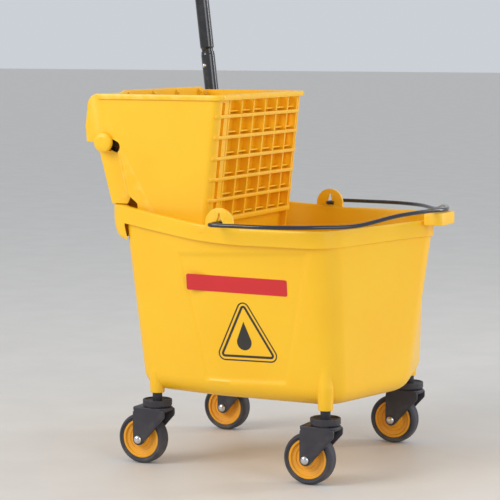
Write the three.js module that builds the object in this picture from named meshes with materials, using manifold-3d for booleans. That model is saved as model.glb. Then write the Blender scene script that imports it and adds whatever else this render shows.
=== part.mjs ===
// Mop bucket on four swivel casters, with a lift-off wringer whose lever drives a swinging press plate.
// Millimetres, +Z up. +X is the pouring end, +Y the lever side. The origin is on the floor, under the middle.
import * as THREE from 'three';
import { mergeVertices } from 'three/addons/utils/BufferGeometryUtils.js';
import Module from 'manifold-3d';

const wasm = await Module();
wasm.setup();

// ---- driving dimensions -------------------------------------------------------------------------
const GAP = 0.3;                   // clearance between pieces that touch
const RUNNING = 0.3;               // radial clearance of turning fits
const SLOT_PLAY = 0.6;             // radial clearance of the crank pin in its curved slot

// heights, from the floor up
const WHEEL_RADIUS = 37.5;
const FORK_TOP_Z = 2 * WHEEL_RADIUS + 11.5;
const BOSS_Z = FORK_TOP_Z + 21.5;
const BOTTOM_Z = BOSS_Z + 4;
const BUCKET_HEIGHT = 251;
const RIM_Z = BOTTOM_Z + BUCKET_HEIGHT;

// bucket: the outer wall's plan at rim height and at the floor, each as half of a seven-cornered outline
const NOSE_X = 242;
const SHOULDER_X = NOSE_X - 89;
const WAIST_X = -40;
const REAR_X = -197;
const HALF_WIDTH = 193;
const REAR_HALF_WIDTH = 137;
const NOSE_RADIUS = 30;
const SHOULDER_RADIUS = 55;
const WAIST_RADIUS = 120;
const REAR_RADIUS = 30;
const FLOOR_NOSE_X = NOSE_X - 38;
const FLOOR_SHOULDER_X = SHOULDER_X + 9;
const FLOOR_WAIST_X = WAIST_X + 7;
const FLOOR_REAR_X = REAR_X + 36;
const FLOOR_HALF_WIDTH = HALF_WIDTH - 27;
const FLOOR_REAR_HALF_WIDTH = REAR_HALF_WIDTH + 9;
const FLOOR_NOSE_RADIUS = 60;
const FLOOR_SHOULDER_RADIUS = 35;
const WALL = 3;
const FLOOR = 3.5;
const REAR_RISE = 22;              // how far the rim climbs towards the rear
const REAR_RISE_START_X = 27;
const NOSE_RISE = 5;
const BOTTOM_RADIUS = 26;
const BAND_DEPTH = 24;             // stiffening band under the rim
const BAND_OUT = 4;
const BAND_END_OUT = 0.8;          // what is left of the band at the nose
const REAR_LIP_OUT = 24;           // ledge behind the bucket that carries the wringer
const REAR_LIP_DEPTH = 50;
const LIP_WALL = 3;
const LIP_PROFILE = [[0, 0.3], [0.07, 0.6], [0.25, 0.85], [0.6, 1]];  // share of the ledge's height, and of its reach
const TAB_OUT = 25;                // lifting tab in front of the nose
const TAB_HALF_WIDTH = 26;
const TAB_HEIGHT = 18;
const TAB_RISE = 17;               // top of the tab above the rim
const TAB_X = NOSE_X - 2;

// lugs that hold the wire handle
const LUG_X = -6;
const LUG_RADIUS = 22;
const LUG_RISE = 28;               // top of the lug above the rim
const LUG_THICKNESS = 4.5;
const LUG_SPREAD = 9;              // how far the lug's feet spread along the rim
const KEYHOLE_HALF = 1.6;
const KEYHOLE_RISE = 11;
const HANDLE_Z = RIM_Z + 7;

// wire handle
const WIRE_RADIUS = 3;
const HANDLE_HALF_WIDTH = HALF_WIDTH + 39;
const HANDLE_TIP_X = NOSE_X + 17;
const HOOK_LENGTH = 12;
const HOOK_INSET = 12;             // from the lug's inner face to the hook's centre line

// casters
const FRONT_STEM_X = FLOOR_SHOULDER_X - 18;
const FRONT_STEM_Y = FLOOR_HALF_WIDTH - 4;
const REAR_STEM_X = FLOOR_REAR_X + 23;
const REAR_STEM_Y = FLOOR_REAR_HALF_WIDTH - 7;
const TREAD = 24;
const TRAIL = 23.5;
const HUB_RADIUS = WHEEL_RADIUS - 8.3;
const HUB_WIDTH = 20;
const TYRE_SEAT = 1.01027;          // tyre's inner radius over the hub's: clears the hub's faceted rim
const AXLE_RADIUS = 4;
const LEG_INNER = 14;
const LEG_THICKNESS = 4;
const FORK_TIP = 9;                // radius of each leg round the axle
const FORK_CORNER = 12;
const FORK_PLATE = 6;
const RACE_RADIUS = 21.8;
const RACE_HEIGHT = 11;
const STEM_RADIUS = 7.2;
const STEM_SEAT = 32;              // how deep the stem sits in its boss
const BOSS_RADIUS = 10.6;
const BOSS_TOP_Z = BOTTOM_Z + 78;
const BOLT_HEAD_RADIUS = 6.5;

// wringer
const CASE_HALF_WIDTH = REAR_HALF_WIDTH + 5;
const CASE_WALL = 4;
const CASE_TOP_Z = RIM_Z + 184;
const CASE_BOTTOM_Z = RIM_Z - 101;
const FRONT_X = REAR_X + 161;      // front face at grille reference height
const FRONT_REF_Z = CASE_TOP_Z - 31;
const FRONT_TILT = THREE.MathUtils.degToRad(6);
const GRILLE_DEPTH = 16;
const RIB_PITCH = 30.3;
const RIB_COUNT = 6;
const RIB_HEIGHT = 5;
const RIB_PROUD = 3;
const BAR_COUNT = 7;
const BAR_FIRST_Y = 39 - CASE_HALF_WIDTH;
const BAR_LAST_Y = CASE_HALF_WIDTH - 5;
const BAR_PITCH = (BAR_LAST_Y - BAR_FIRST_Y) / (BAR_COUNT - 1);
const BAR_THICKNESS = 4;
const LINER = 3;
const SLOT_WIDTH = 14;
const LOW_PANEL_HEIGHT = 40;       // plain panel under the last rib
const DRAIN_SLOT_HALF = 8;
const CASE_CORNER = 12;
const RIB_WRAP = Math.PI * 0.27;   // how far each rib's end follows the corner
const LEFT_POST = CASE_CORNER + 1; // width of the left corner post; the right one is as wide as a cell
const LIP_OUT = 3;
const LIP_HEIGHT = 8;
const FRONT_LIP = 7;
const HOOD_X = REAR_X - 54;
const HOOD_SWELL = 3.5;            // the hood's back bulges this far behind its top
const MOUTH_X = REAR_X - 1;        // rear edge of the mouth
const HOOD_BOTTOM_Z = RIM_Z + 113;
const HOOD_RADIUS = 18;
const REAR_FRAME_INSET = 8;        // the rear frame stands in from the side walls
const REAR_FRAME_WALL = 4;
const BACK_RIM_RISE = 5;
const BACK_RIM_DEPTH = 12;
const BACK_RIM_HALF = 126;
const GUSSETS = 4;
const GUSSET_PITCH = 74.7;
const GUSSET_DEPTH = 8;

// press mechanism
const SHAFT = new THREE.Vector2(REAR_X - 26, HOOD_BOTTOM_Z);
const SHAFT_SLOT_END = new THREE.Vector2(SHAFT.x + 17, SHAFT.y - 6.5);
const SHAFT_SLOT_RADIUS = 9;
const SHAFT_RADIUS = 8;
const CAP_RADIUS = 14.5;
const CAP_LENGTH = 9;
const CRANK_LENGTH = 80;
const CRANK_REST = THREE.MathUtils.degToRad(-77);
const LEVER_TRAVEL = THREE.MathUtils.degToRad(70);
const PLATE_SWING = THREE.MathUtils.degToRad(22);
const CRANK_WIDTH = 16;
const CRANK_THICKNESS = 6;
const CRANK_Y = CASE_HALF_WIDTH - 22;
const CRANK_HUB_RADIUS = 11.5;
const SPACER_RADIUS = 11;
const CRANK_GAP = 6;               // from the crank's inner face to the press plate's web
const CRANK_PIN_RADIUS = 5;
const PIVOT = new THREE.Vector2(REAR_X + 62, RIM_Z - 75);
const PIVOT_RADIUS = 4;
const PLATE_LEAN = THREE.MathUtils.degToRad(-24.5);
const PLATE_STANDOFF = 30;
const PLATE_THICKNESS = 5;
const PLATE_RIB = 5;
const PLATE_HEIGHT = CASE_TOP_Z - CASE_BOTTOM_Z - 35;
const PLATE_BELOW = 15;
const PLATE_SIDE_GAP = 4;
const PLATE_SLOTS = 6;
const WEB_THICKNESS = 6;
const WEB_MARGIN = 3.5;

// lever
const LEVER_LEAN = THREE.MathUtils.degToRad(-6.84);
const LEVER_Y = CASE_HALF_WIDTH + 23.5;
const LEVER_OFFSET = 29.5;         // the tube stands forward of the shaft
const TUBE_RADIUS = 11;
const TUBE_WALL = 1.5;
const SOCKET_LENGTH = 128;
const SOCKET_BELOW = 6;
const TUBE_TOP = 474.2;
const NECK_RADIUS = TUBE_RADIUS - TUBE_WALL - GAP;
const NECK_LENGTH = 34;
const NECK_SHOWN = 4;
const BRACKET_THICKNESS = 5.5;
const BRACKET_RADIUS = 14;
const BOLT_RADIUS = 3;
const BOLT_LOW = 10;
const BOLT_HIGH = 46;
const BUTTON_RADIUS = 3.5;
const BUTTON_ALONG = 106;
const BUTTON_TURN = THREE.MathUtils.degToRad(16);
const BUTTON_OUT = 3;
const GRIP_LENGTH = 118;
const GRIP_WALL = 4;

// ---- materials ----------------------------------------------------------------------------------
const finish = (color, roughness, metalness = 0) =>
  new THREE.MeshStandardMaterial({ color, roughness, metalness });
const YELLOW = finish(0xf7b51c, 0.45);
const BLACK_PLASTIC = finish(0x2a2830, 0.5);
const TYRE_RUBBER = finish(0x38363f, 0.75);
const HUB_YELLOW = finish(0xe9a51f, 0.5);
const CHROME = finish(0xc8c8cc, 0.2, 1);
const BLACK_STEEL = finish(0x1b1b22, 0.25, 0.3);
const WIRE_BLACK = finish(0x15151c, 0.3, 0.3);
const ZINC = finish(0x9a9a9c, 0.4, 0.9);
const GRIP_RUBBER = finish(0x1c1c1e, 0.8);

// ---- solid helpers ------------------------------------------------------------------------------
function toManifold(geometry) {
  const bare = geometry.clone();
  bare.deleteAttribute('normal');
  bare.deleteAttribute('uv');
  const merged = mergeVertices(bare, 1e-4);
  const vertProperties = new Float32Array(merged.attributes.position.array);
  const corners = Array.from(merged.index.array);
  const whole = (k) => new Set(corners.slice(3 * k, 3 * k + 3)).size === 3;
  const triVerts = new Uint32Array(corners.filter((_, i) => whole(Math.floor(i / 3))));
  return new wasm.Manifold(new wasm.Mesh({ numProp: 3, vertProperties, triVerts }));
}

function toGeometry(manifold) {
  const mesh = manifold.getMesh();
  const geometry = new THREE.BufferGeometry();
  geometry.setAttribute('position', new THREE.BufferAttribute(new Float32Array(mesh.vertProperties), 3));
  geometry.setIndex(new THREE.BufferAttribute(new Uint32Array(mesh.triVerts), 1));
  geometry.computeVertexNormals();
  return geometry;
}

const join = (...geometries) => toGeometry(geometries.map(toManifold).reduce((a, b) => a.add(b)));
const cut = (geometry, ...tools) =>
  toGeometry(tools.map(toManifold).reduce((rest, tool) => rest.subtract(tool), toManifold(geometry)));

// a shape drawn in X and Z, solid from y0 to y1
function prismY(shape, y0, y1, curveSegments = 6) {
  const geometry = new THREE.ExtrudeGeometry(shape, { depth: y1 - y0, bevelEnabled: false, curveSegments });
  return geometry.rotateX(Math.PI / 2).translate(0, y1, 0);
}

// a shape drawn in X and Y, solid from z0 to z1
function prismZ(shape, z0, z1, curveSegments = 6) {
  const geometry = new THREE.ExtrudeGeometry(shape, { depth: z1 - z0, bevelEnabled: false, curveSegments });
  return geometry.translate(0, 0, z0);
}

const polygon = (points) => new THREE.Shape(points.map(([a, b]) => new THREE.Vector2(a, b)));

function block(x0, x1, y0, y1, z0, z1) {
  return new THREE.BoxGeometry(x1 - x0, y1 - y0, z1 - z0)
    .translate((x0 + x1) / 2, (y0 + y1) / 2, (z0 + z1) / 2);
}

// revolved about Y: profile points are [radius, y], counter-clockwise
function latheY(points, segments) {
  return new THREE.LatheGeometry(points.map(([r, y]) => new THREE.Vector2(r, y)), segments);
}

// revolved about Z
const latheZ = (points, segments) => latheY(points, segments).rotateX(Math.PI / 2);

const rod = (radius, from, to, segments = 16) =>
  latheY([[0, from], [radius, from], [radius, to], [0, to]], segments);

const ring = (inner, outer, from, to, segments = 16) =>
  latheY([[inner, from], [outer, from], [outer, to], [inner, to], [inner, from]], segments);

// six-sided nut with a round bore, along Y
const hexNut = (bore, size, from, to) => cut(rod(size, from, to, 6), rod(bore, from - 1, to + 1, 12));

const rodY = (radius, x, z, y0, y1, segments = 16) => rod(radius, y0, y1, segments).translate(x, 0, z);

// outline of a straight bar with round ends between two points
function capsule(a, b, radius, steps = 8) {
  const angle = Math.atan2(b.y - a.y, b.x - a.x);
  const points = [];
  for (const [end, start] of [[b, angle - Math.PI / 2], [a, angle + Math.PI / 2]]) {
    for (let i = 0; i <= steps; i++) {
      const t = start + (Math.PI * i) / steps;
      points.push([end.x + radius * Math.cos(t), end.y + radius * Math.sin(t)]);
    }
  }
  return polygon(points);
}

function smooth(edge0, edge1, value) {
  const t = THREE.MathUtils.clamp((value - edge0) / (edge1 - edge0), 0, 1);
  return t * t * (3 - 2 * t);
}

const part = new THREE.Group();

function addMesh(name, geometry, material, parent = part) {
  const mesh = new THREE.Mesh(geometry, material);
  mesh.name = name;
  parent.add(mesh);
  return mesh;
}

// ---- bucket -------------------------------------------------------------------------------------
// half plans from nose to rear: x, y, radius
const RIM_PLAN = [
  [NOSE_X, 0, NOSE_RADIUS],
  [SHOULDER_X, HALF_WIDTH, SHOULDER_RADIUS],
  [WAIST_X, HALF_WIDTH, WAIST_RADIUS],
  [REAR_X, REAR_HALF_WIDTH, REAR_RADIUS],
];
const FLOOR_PLAN = [
  [FLOOR_NOSE_X, 0, FLOOR_NOSE_RADIUS],
  [FLOOR_SHOULDER_X, FLOOR_HALF_WIDTH, FLOOR_SHOULDER_RADIUS],
  [FLOOR_WAIST_X, FLOOR_HALF_WIDTH, WAIST_RADIUS],
  [FLOOR_REAR_X, FLOOR_REAR_HALF_WIDTH, REAR_RADIUS],
];
// steps of each corner's arc, and of the straight edge after it
const ARC_STEPS = [6, 5, 2, 4, 4, 2, 5];
const EDGE_STEPS = [3, 2, 3, 2, 3, 2, 3];

// all seven corners of the wall's plan at a height, counter-clockwise
function planAt(z) {
  const share = (z - BOTTOM_Z) / (RIM_Z - BOTTOM_Z);
  const half = RIM_PLAN.map((corner, i) =>
    corner.map((value, k) => THREE.MathUtils.lerp(FLOOR_PLAN[i][k], value, share)));
  return [...half, ...half.slice(1).reverse().map(([x, y, r]) => [x, -y, r])];
}

function planOutline(plan, inset, rearInset, radiusCut) {
  const rearEdge = 3;
  const edges = plan.map(([x, y], i) => {
    const [nextX, nextY] = plan[(i + 1) % plan.length];
    const normal = new THREE.Vector2(nextY - y, x - nextX).normalize();
    return { normal, offset: normal.x * x + normal.y * y - (i === rearEdge ? rearInset : inset) };
  });
  const arcs = plan.map(([, , radius], i) => {
    const a = edges[(i + plan.length - 1) % plan.length];
    const b = edges[i];
    const det = a.normal.x * b.normal.y - a.normal.y * b.normal.x;
    const cornerX = (a.offset * b.normal.y - b.offset * a.normal.y) / det;
    const cornerY = (a.normal.x * b.offset - b.normal.x * a.offset) / det;
    const r = Math.max(radius - radiusCut, 3);
    const pull = r / (1 + a.normal.dot(b.normal));
    const centreX = cornerX - (a.normal.x + b.normal.x) * pull;
    const centreY = cornerY - (a.normal.y + b.normal.y) * pull;
    const start = a.normal.angle();
    const turn = THREE.MathUtils.euclideanModulo(b.normal.angle() - start, 2 * Math.PI);
    return Array.from({ length: ARC_STEPS[i] + 1 }, (_, k) => {
      const angle = start + (turn * k) / ARC_STEPS[i];
      return new THREE.Vector2(centreX + r * Math.cos(angle), centreY + r * Math.sin(angle));
    });
  });
  return arcs.flatMap((arc, i) => {
    const next = arcs[(i + 1) % arcs.length][0];
    const last = arc[arc.length - 1];
    const steps = EDGE_STEPS[i];
    const between = Array.from({ length: steps - 1 }, (_, k) => last.clone().lerp(next, (k + 1) / steps));
    return [...arc, ...between];
  });
}

const rearLipX = REAR_X - REAR_LIP_OUT;

function rimZ(x) {
  const back = THREE.MathUtils.clamp((REAR_RISE_START_X - x) / (REAR_RISE_START_X - rearLipX), 0, 1);
  return RIM_Z + REAR_RISE * back ** 1.35 + NOSE_RISE * smooth(SHOULDER_X, NOSE_X, x);
}

const bandEnd = planOutline(planAt(RIM_Z), -BAND_END_OUT, -BAND_END_OUT, 0);
const bandWith = (rearOut) => planOutline(planAt(RIM_Z), -BAND_OUT, -rearOut, -BAND_OUT).map((point, i) =>
  point.lerp(bandEnd[i], smooth(SHOULDER_X - 5, NOSE_X - 45, point.x)));
const bandOutline = bandWith(REAR_LIP_OUT);
const bandBottomZ = bandOutline.map((point) => {
  const rear = smooth(REAR_X + 6, REAR_X - 8, point.x);
  return rimZ(point.x) - BAND_DEPTH - (REAR_LIP_DEPTH - BAND_DEPTH) * rear;
});

// rings that round the foot of a wall standing inset from the outer plan
function footRings(floorZ, inset, radius) {
  return [0, 30, 60, 90].map((degrees) => {
    const a = THREE.MathUtils.degToRad(degrees);
    const z = floorZ + radius * (1 - Math.cos(a));
    const total = inset + radius * (1 - Math.sin(a));
    return planOutline(planAt(z), total, total, inset).map((p) => new THREE.Vector3(p.x, p.y, z));
  });
}

function bucketShell() {
  const underBand = planOutline(planAt(RIM_Z - BAND_DEPTH), 0, 0, 0);
  const innerRim = planOutline(planAt(RIM_Z), WALL, WALL, WALL);
  return skinOf([
    ...footRings(BOTTOM_Z, 0, BOTTOM_RADIUS),
    underBand.map((p, i) => new THREE.Vector3(p.x, p.y, bandBottomZ[i])),
    ...LIP_PROFILE.map(([up, out]) => bandWith(REAR_LIP_OUT * out).map((p, i) =>
      new THREE.Vector3(p.x, p.y, THREE.MathUtils.lerp(bandBottomZ[i], rimZ(bandOutline[i].x), up)))),
    bandOutline.map((p) => new THREE.Vector3(p.x, p.y, rimZ(p.x))),
    innerRim.map((p, i) => new THREE.Vector3(p.x, p.y, rimZ(bandOutline[i].x))),
    ...footRings(BOTTOM_Z + FLOOR, WALL, BOTTOM_RADIUS - FLOOR).reverse(),
  ]);
}

// closes a stack of rings with a fan at each end
function skinOf(rings) {
  const count = rings[0].length;
  const position = rings.flat().flatMap((p) => [p.x, p.y, p.z]);
  const index = [];
  for (let k = 0; k + 1 < rings.length; k++) {
    for (let i = 0; i < count; i++) {
      const a = k * count + i;
      const b = k * count + ((i + 1) % count);
      index.push(a, b, b + count, a, b + count, a + count);
    }
  }
  const ends = [[0, rings[0], true], [(rings.length - 1) * count, rings[rings.length - 1], false]];
  for (const [first, points, down] of ends) {
    const middle = position.length / 3;
    position.push(0, 0, points[0].z);
    for (let i = 0; i < count; i++) {
      const a = first + i;
      const b = first + ((i + 1) % count);
      index.push(...(down ? [middle, b, a] : [middle, a, b]));
    }
  }
  const geometry = new THREE.BufferGeometry();
  geometry.setAttribute('position', new THREE.Float32BufferAttribute(position, 3));
  geometry.setIndex(index);
  return geometry;
}

// half-round lug with spread feet and a keyhole that the wire goes through
function lugShape() {
  const top = RIM_Z + LUG_RISE;
  const centreZ = top - LUG_RADIUS;
  const footZ = RIM_Z - 8;
  const shape = new THREE.Shape();
  shape.moveTo(LUG_X - LUG_RADIUS - LUG_SPREAD, footZ);
  shape.lineTo(LUG_X + LUG_RADIUS + LUG_SPREAD, footZ);
  shape.lineTo(LUG_X + LUG_RADIUS + LUG_SPREAD, RIM_Z - 1);
  shape.quadraticCurveTo(LUG_X + LUG_RADIUS, RIM_Z, LUG_X + LUG_RADIUS, centreZ);
  shape.absarc(LUG_X, centreZ, LUG_RADIUS, 0, Math.PI, false);
  shape.quadraticCurveTo(LUG_X - LUG_RADIUS, RIM_Z, LUG_X - LUG_RADIUS - LUG_SPREAD, RIM_Z + 1);
  shape.closePath();
  const hole = new THREE.Path();
  const r = WIRE_RADIUS + 1.2;
  hole.absarc(LUG_X, HANDLE_Z, r, Math.PI * 0.75, Math.PI * 2.25, false);
  hole.lineTo(LUG_X + KEYHOLE_HALF, HANDLE_Z + KEYHOLE_RISE);
  hole.lineTo(LUG_X - KEYHOLE_HALF, HANDLE_Z + KEYHOLE_RISE);
  hole.closePath();
  shape.holes.push(hole);
  return shape;
}

const STEMS = [
  ['front_left', FRONT_STEM_X, FRONT_STEM_Y],
  ['front_right', FRONT_STEM_X, -FRONT_STEM_Y],
  ['rear_left', REAR_STEM_X, REAR_STEM_Y],
  ['rear_right', REAR_STEM_X, -REAR_STEM_Y],
];

function makeBucket() {
  const outer = HALF_WIDTH + BAND_OUT;
  const inner = outer - LUG_THICKNESS;
  const lugs = [prismY(lugShape(), inner, outer), prismY(lugShape(), -outer, -inner)];
  const bosses = STEMS.map(([, x, y]) =>
    latheZ([[0, BOSS_Z], [BOSS_RADIUS, BOSS_Z], [BOSS_RADIUS + 1, BOSS_Z + STEM_SEAT],
      [BOSS_RADIUS / 2, BOSS_TOP_Z], [0, BOSS_TOP_Z]], 12).translate(x, y, 0));
  const sockets = STEMS.map(([, x, y]) =>
    latheZ([[0, BOSS_Z - 5], [STEM_RADIUS + GAP, BOSS_Z - 5], [STEM_RADIUS + GAP, BOSS_Z + STEM_SEAT + GAP],
      [0, BOSS_Z + STEM_SEAT + GAP]], 10).translate(x, y, 0));
  const tabTop = RIM_Z + TAB_RISE;
  const tab = block(TAB_X - 4, TAB_X + TAB_OUT, -TAB_HALF_WIDTH, TAB_HALF_WIDTH, tabTop - TAB_HEIGHT, tabTop);
  const tabHollow = block(NOSE_X + LIP_WALL, TAB_X + TAB_OUT - LIP_WALL, LIP_WALL - TAB_HALF_WIDTH,
    TAB_HALF_WIDTH - LIP_WALL, tabTop - TAB_HEIGHT - 1, tabTop - LIP_WALL);
  const pocketHalf = REAR_HALF_WIDTH - REAR_RADIUS;
  const pocketTop = rimZ(rearLipX) - LIP_WALL;
  const lipBottom = rimZ(rearLipX) - REAR_LIP_DEPTH;
  const lipPocket = prismY(polygon([
    [REAR_X - LIP_WALL, lipBottom - LIP_WALL],
    [REAR_X - LIP_WALL, pocketTop],
    [rearLipX + LIP_WALL, pocketTop],
    ...LIP_PROFILE.slice().reverse().map(([up, out]) =>
      [REAR_X - REAR_LIP_OUT * out + LIP_WALL, lipBottom + REAR_LIP_DEPTH * up]),
    [REAR_X - LIP_WALL - 1, lipBottom - LIP_WALL],
  ]), -pocketHalf, pocketHalf);
  const body = join(bucketShell(), ...lugs, ...bosses, tab);
  addMesh('bucket_body', cut(body, ...sockets, lipPocket, tabHollow), YELLOW);
}

// ---- wire handle --------------------------------------------------------------------------------
function handlePath() {
  const hookY = HALF_WIDTH + BAND_OUT - LUG_THICKNESS - HOOK_INSET;
  const tipZ = RIM_Z + TAB_RISE + WIRE_RADIUS + 0.6;
  const liftZ = (x) => HANDLE_Z + (tipZ - HANDLE_Z) * smooth(HANDLE_TIP_X - 75, HANDLE_TIP_X - 18, x);
  const half = [
    [LUG_X + HOOK_LENGTH, hookY],
    [LUG_X + 4, hookY],
    [LUG_X, hookY + 4],
    [LUG_X, hookY + 9],
    [LUG_X, hookY + 24],
    [LUG_X, HANDLE_HALF_WIDTH - 8],
    [LUG_X + 8, HANDLE_HALF_WIDTH],
    [HANDLE_TIP_X - 219, HANDLE_HALF_WIDTH],
    [HANDLE_TIP_X - 179, HANDLE_HALF_WIDTH - 2],
    [HANDLE_TIP_X - 147, HANDLE_HALF_WIDTH - 11],
    [HANDLE_TIP_X - 112, HANDLE_HALF_WIDTH - 32],
    [HANDLE_TIP_X - 72, HANDLE_HALF_WIDTH - 77],
    [HANDLE_TIP_X - 37, HANDLE_HALF_WIDTH - 137],
    [HANDLE_TIP_X - 12, HANDLE_HALF_WIDTH - 190],
  ].map(([x, y]) => new THREE.Vector3(x, y, liftZ(x)));
  const mirrored = half.slice().reverse().map((p) => new THREE.Vector3(p.x, -p.y, p.z));
  const points = [...half, new THREE.Vector3(HANDLE_TIP_X, 0, tipZ), ...mirrored];
  return new THREE.CatmullRomCurve3(points, false, 'centripetal');
}

function circleShape(radius, sides) {
  return polygon(Array.from({ length: sides }, (_, i) => {
    const t = (2 * Math.PI * (i + 0.5)) / sides;
    return [radius * Math.cos(t), radius * Math.sin(t)];
  }));
}

function makeHandle() {
  const options = { steps: 72, extrudePath: handlePath(), bevelEnabled: false };
  addMesh('bail_handle', new THREE.ExtrudeGeometry(circleShape(WIRE_RADIUS, 6), options), WIRE_BLACK);
}

// ---- casters ------------------------------------------------------------------------------------
const RACE_Z = FORK_TOP_Z + GAP;
const WHEEL_SIDES = 24;

function tyreGeometry() {
  const r = WHEEL_RADIUS / Math.cos(Math.PI / WHEEL_SIDES);
  const half = TREAD / 2;
  const inner = HUB_RADIUS * TYRE_SEAT;
  return latheY([[inner, -half + 1], [r - 4, -half], [r, -half + 5], [r, half - 5], [r - 4, half],
    [inner, half - 1], [inner, -half + 1]], WHEEL_SIDES)
    .rotateY(Math.PI / WHEEL_SIDES);
}

function hubGeometry() {
  const half = HUB_WIDTH / 2;
  const bore = AXLE_RADIUS + RUNNING;
  const boss = 11;
  const dish = 4;
  return latheY([[bore, -half - 2], [boss, -half - 2], [boss + 2, -half + dish], [HUB_RADIUS - 4, -half],
    [HUB_RADIUS, -half], [HUB_RADIUS, half], [HUB_RADIUS - 4, half], [boss + 2, half - dish], [boss, half + 2],
    [bore, half + 2], [bore, -half - 2]], 16);
}

function forkGeometry() {
  const legOuter = LEG_INNER + LEG_THICKNESS;
  const axleZ = WHEEL_RADIUS;
  const leg = new THREE.Shape();
  leg.moveTo(-TRAIL - FORK_TIP, FORK_TOP_Z - 3);
  leg.lineTo(-TRAIL - FORK_TIP, axleZ);
  leg.absarc(-TRAIL, axleZ, FORK_TIP, Math.PI, Math.PI * 1.8, false);
  leg.lineTo(RACE_RADIUS - 2, FORK_TOP_Z - 14);
  leg.lineTo(RACE_RADIUS - 2, FORK_TOP_Z - 3);
  leg.closePath();
  const legs = [prismY(leg, LEG_INNER, legOuter, 3), prismY(leg, -legOuter, -LEG_INNER, 3)];
  const top = new THREE.Shape();
  top.moveTo(-TRAIL - FORK_TIP, -legOuter);
  top.lineTo(RACE_RADIUS - 10, -legOuter);
  top.absarc(RACE_RADIUS - 10, -legOuter + FORK_CORNER, FORK_CORNER, -Math.PI / 2, 0, false);
  top.absarc(RACE_RADIUS - 10, legOuter - FORK_CORNER, FORK_CORNER, 0, Math.PI / 2, false);
  top.lineTo(-TRAIL - FORK_TIP, legOuter);
  top.closePath();
  const bore = rod(STEM_RADIUS - 2, FORK_TOP_Z - 10, FORK_TOP_Z + 1, 10).rotateX(Math.PI / 2);
  const axleHole = rodY(AXLE_RADIUS + GAP, -TRAIL, axleZ, -legOuter - 1, legOuter + 1, 12);
  return cut(join(prismZ(top, FORK_TOP_Z - FORK_PLATE, FORK_TOP_Z, 3), ...legs), bore, axleHole);
}

function stemGeometry() {
  const top = BOSS_Z + STEM_SEAT;
  const pin = STEM_RADIUS - 2 - RUNNING;
  const underFork = FORK_TOP_Z - FORK_PLATE - GAP;
  return latheZ([[0, FORK_TOP_Z - 9], [pin + 2.5, FORK_TOP_Z - 9], [pin + 2.5, underFork],
    [pin, underFork], [pin, RACE_Z + GAP], [STEM_RADIUS, RACE_Z + GAP], [STEM_RADIUS, top - 2],
    [STEM_RADIUS - 2, top], [0, top]], 10);
}

function raceGeometry() {
  const top = RACE_Z + RACE_HEIGHT;
  return latheZ([[STEM_RADIUS + GAP, RACE_Z], [RACE_RADIUS, RACE_Z], [RACE_RADIUS, top - 1],
    [RACE_RADIUS - 1, top], [RACE_RADIUS - 3, top], [STEM_RADIUS + GAP, top - 3],
    [STEM_RADIUS + GAP, RACE_Z]], 16);
}

function axleGeometries() {
  const legOuter = LEG_INNER + LEG_THICKNESS;
  const headFrom = -legOuter - GAP;
  const head = latheY([[0, headFrom - 5], [BOLT_HEAD_RADIUS - 2, headFrom - 5], [BOLT_HEAD_RADIUS, headFrom - 3.5],
    [BOLT_HEAD_RADIUS, headFrom],
    [AXLE_RADIUS, headFrom], [AXLE_RADIUS, legOuter + 7], [0, legOuter + 7]], 8);
  const nut = hexNut(AXLE_RADIUS + GAP, 7, legOuter + GAP, legOuter + GAP + 5);
  return { head, nut };
}

function makeCasters() {
  for (const [place, x, y] of STEMS) {
    const caster = new THREE.Group();
    caster.position.set(x, y, 0);
    part.add(caster);
    const name = `caster_${place}`;
    addMesh(`${name}_stem`, stemGeometry(), BLACK_PLASTIC, caster);
    addMesh(`${name}_race`, raceGeometry(), BLACK_PLASTIC, caster);
    addMesh(`${name}_fork`, forkGeometry(), BLACK_PLASTIC, caster);
    const wheel = new THREE.Group();
    wheel.position.set(-TRAIL, 0, WHEEL_RADIUS);
    caster.add(wheel);
    const { head, nut } = axleGeometries();
    addMesh(`${name}_tyre`, tyreGeometry(), TYRE_RUBBER, wheel);
    addMesh(`${name}_hub`, hubGeometry(), HUB_YELLOW, wheel);
    addMesh(`${name}_axle_bolt`, head, CHROME, wheel);
    addMesh(`${name}_axle_nut`, nut, CHROME, wheel);
  }
}

// ---- wringer case -------------------------------------------------------------------------------
const caseInner = CASE_HALF_WIDTH - CASE_WALL;
const frontX = (z) => FRONT_X + (z - FRONT_REF_Z) * Math.tan(FRONT_TILT);
const ledgeZ = rimZ(rearLipX) + GAP;
const rearFrameOuter = CASE_HALF_WIDTH - REAR_FRAME_INSET;
const rearFrameInner = rearFrameOuter - REAR_FRAME_WALL;
const REAR_EDGE = { footX: rearLipX + 6, topX: REAR_X - 41.5, topZ: HOOD_BOTTOM_Z - 3 };
const rearSlope = (REAR_EDGE.topX - REAR_EDGE.footX) / (REAR_EDGE.topZ - ledgeZ);
const rearEdgeX = (z) => REAR_EDGE.footX + (z - ledgeZ) * rearSlope;
const SIDE_EDGE = [
  [REAR_X - 2, HOOD_BOTTOM_Z - 5],
  [REAR_X + 14, RIM_Z + REAR_RISE + 14],
  [REAR_X + 29, RIM_Z + REAR_RISE + 2],
  [REAR_X + 34, RIM_Z - 63],
  [REAR_X + 37, CASE_BOTTOM_Z],
];

function hoodOutline(offset) {
  const shape = new THREE.Path();
  shape.moveTo(HOOD_X - 2 + offset, HOOD_BOTTOM_Z);
  shape.lineTo(HOOD_X - HOOD_SWELL + offset, HOOD_BOTTOM_Z + 24);
  shape.lineTo(HOOD_X + offset, CASE_TOP_Z - HOOD_RADIUS);
  shape.absarc(HOOD_X + HOOD_RADIUS, CASE_TOP_Z - HOOD_RADIUS, HOOD_RADIUS - offset, Math.PI, Math.PI / 2, true);
  return shape.getPoints(4).map((p) => [p.x, p.y]);
}

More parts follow.
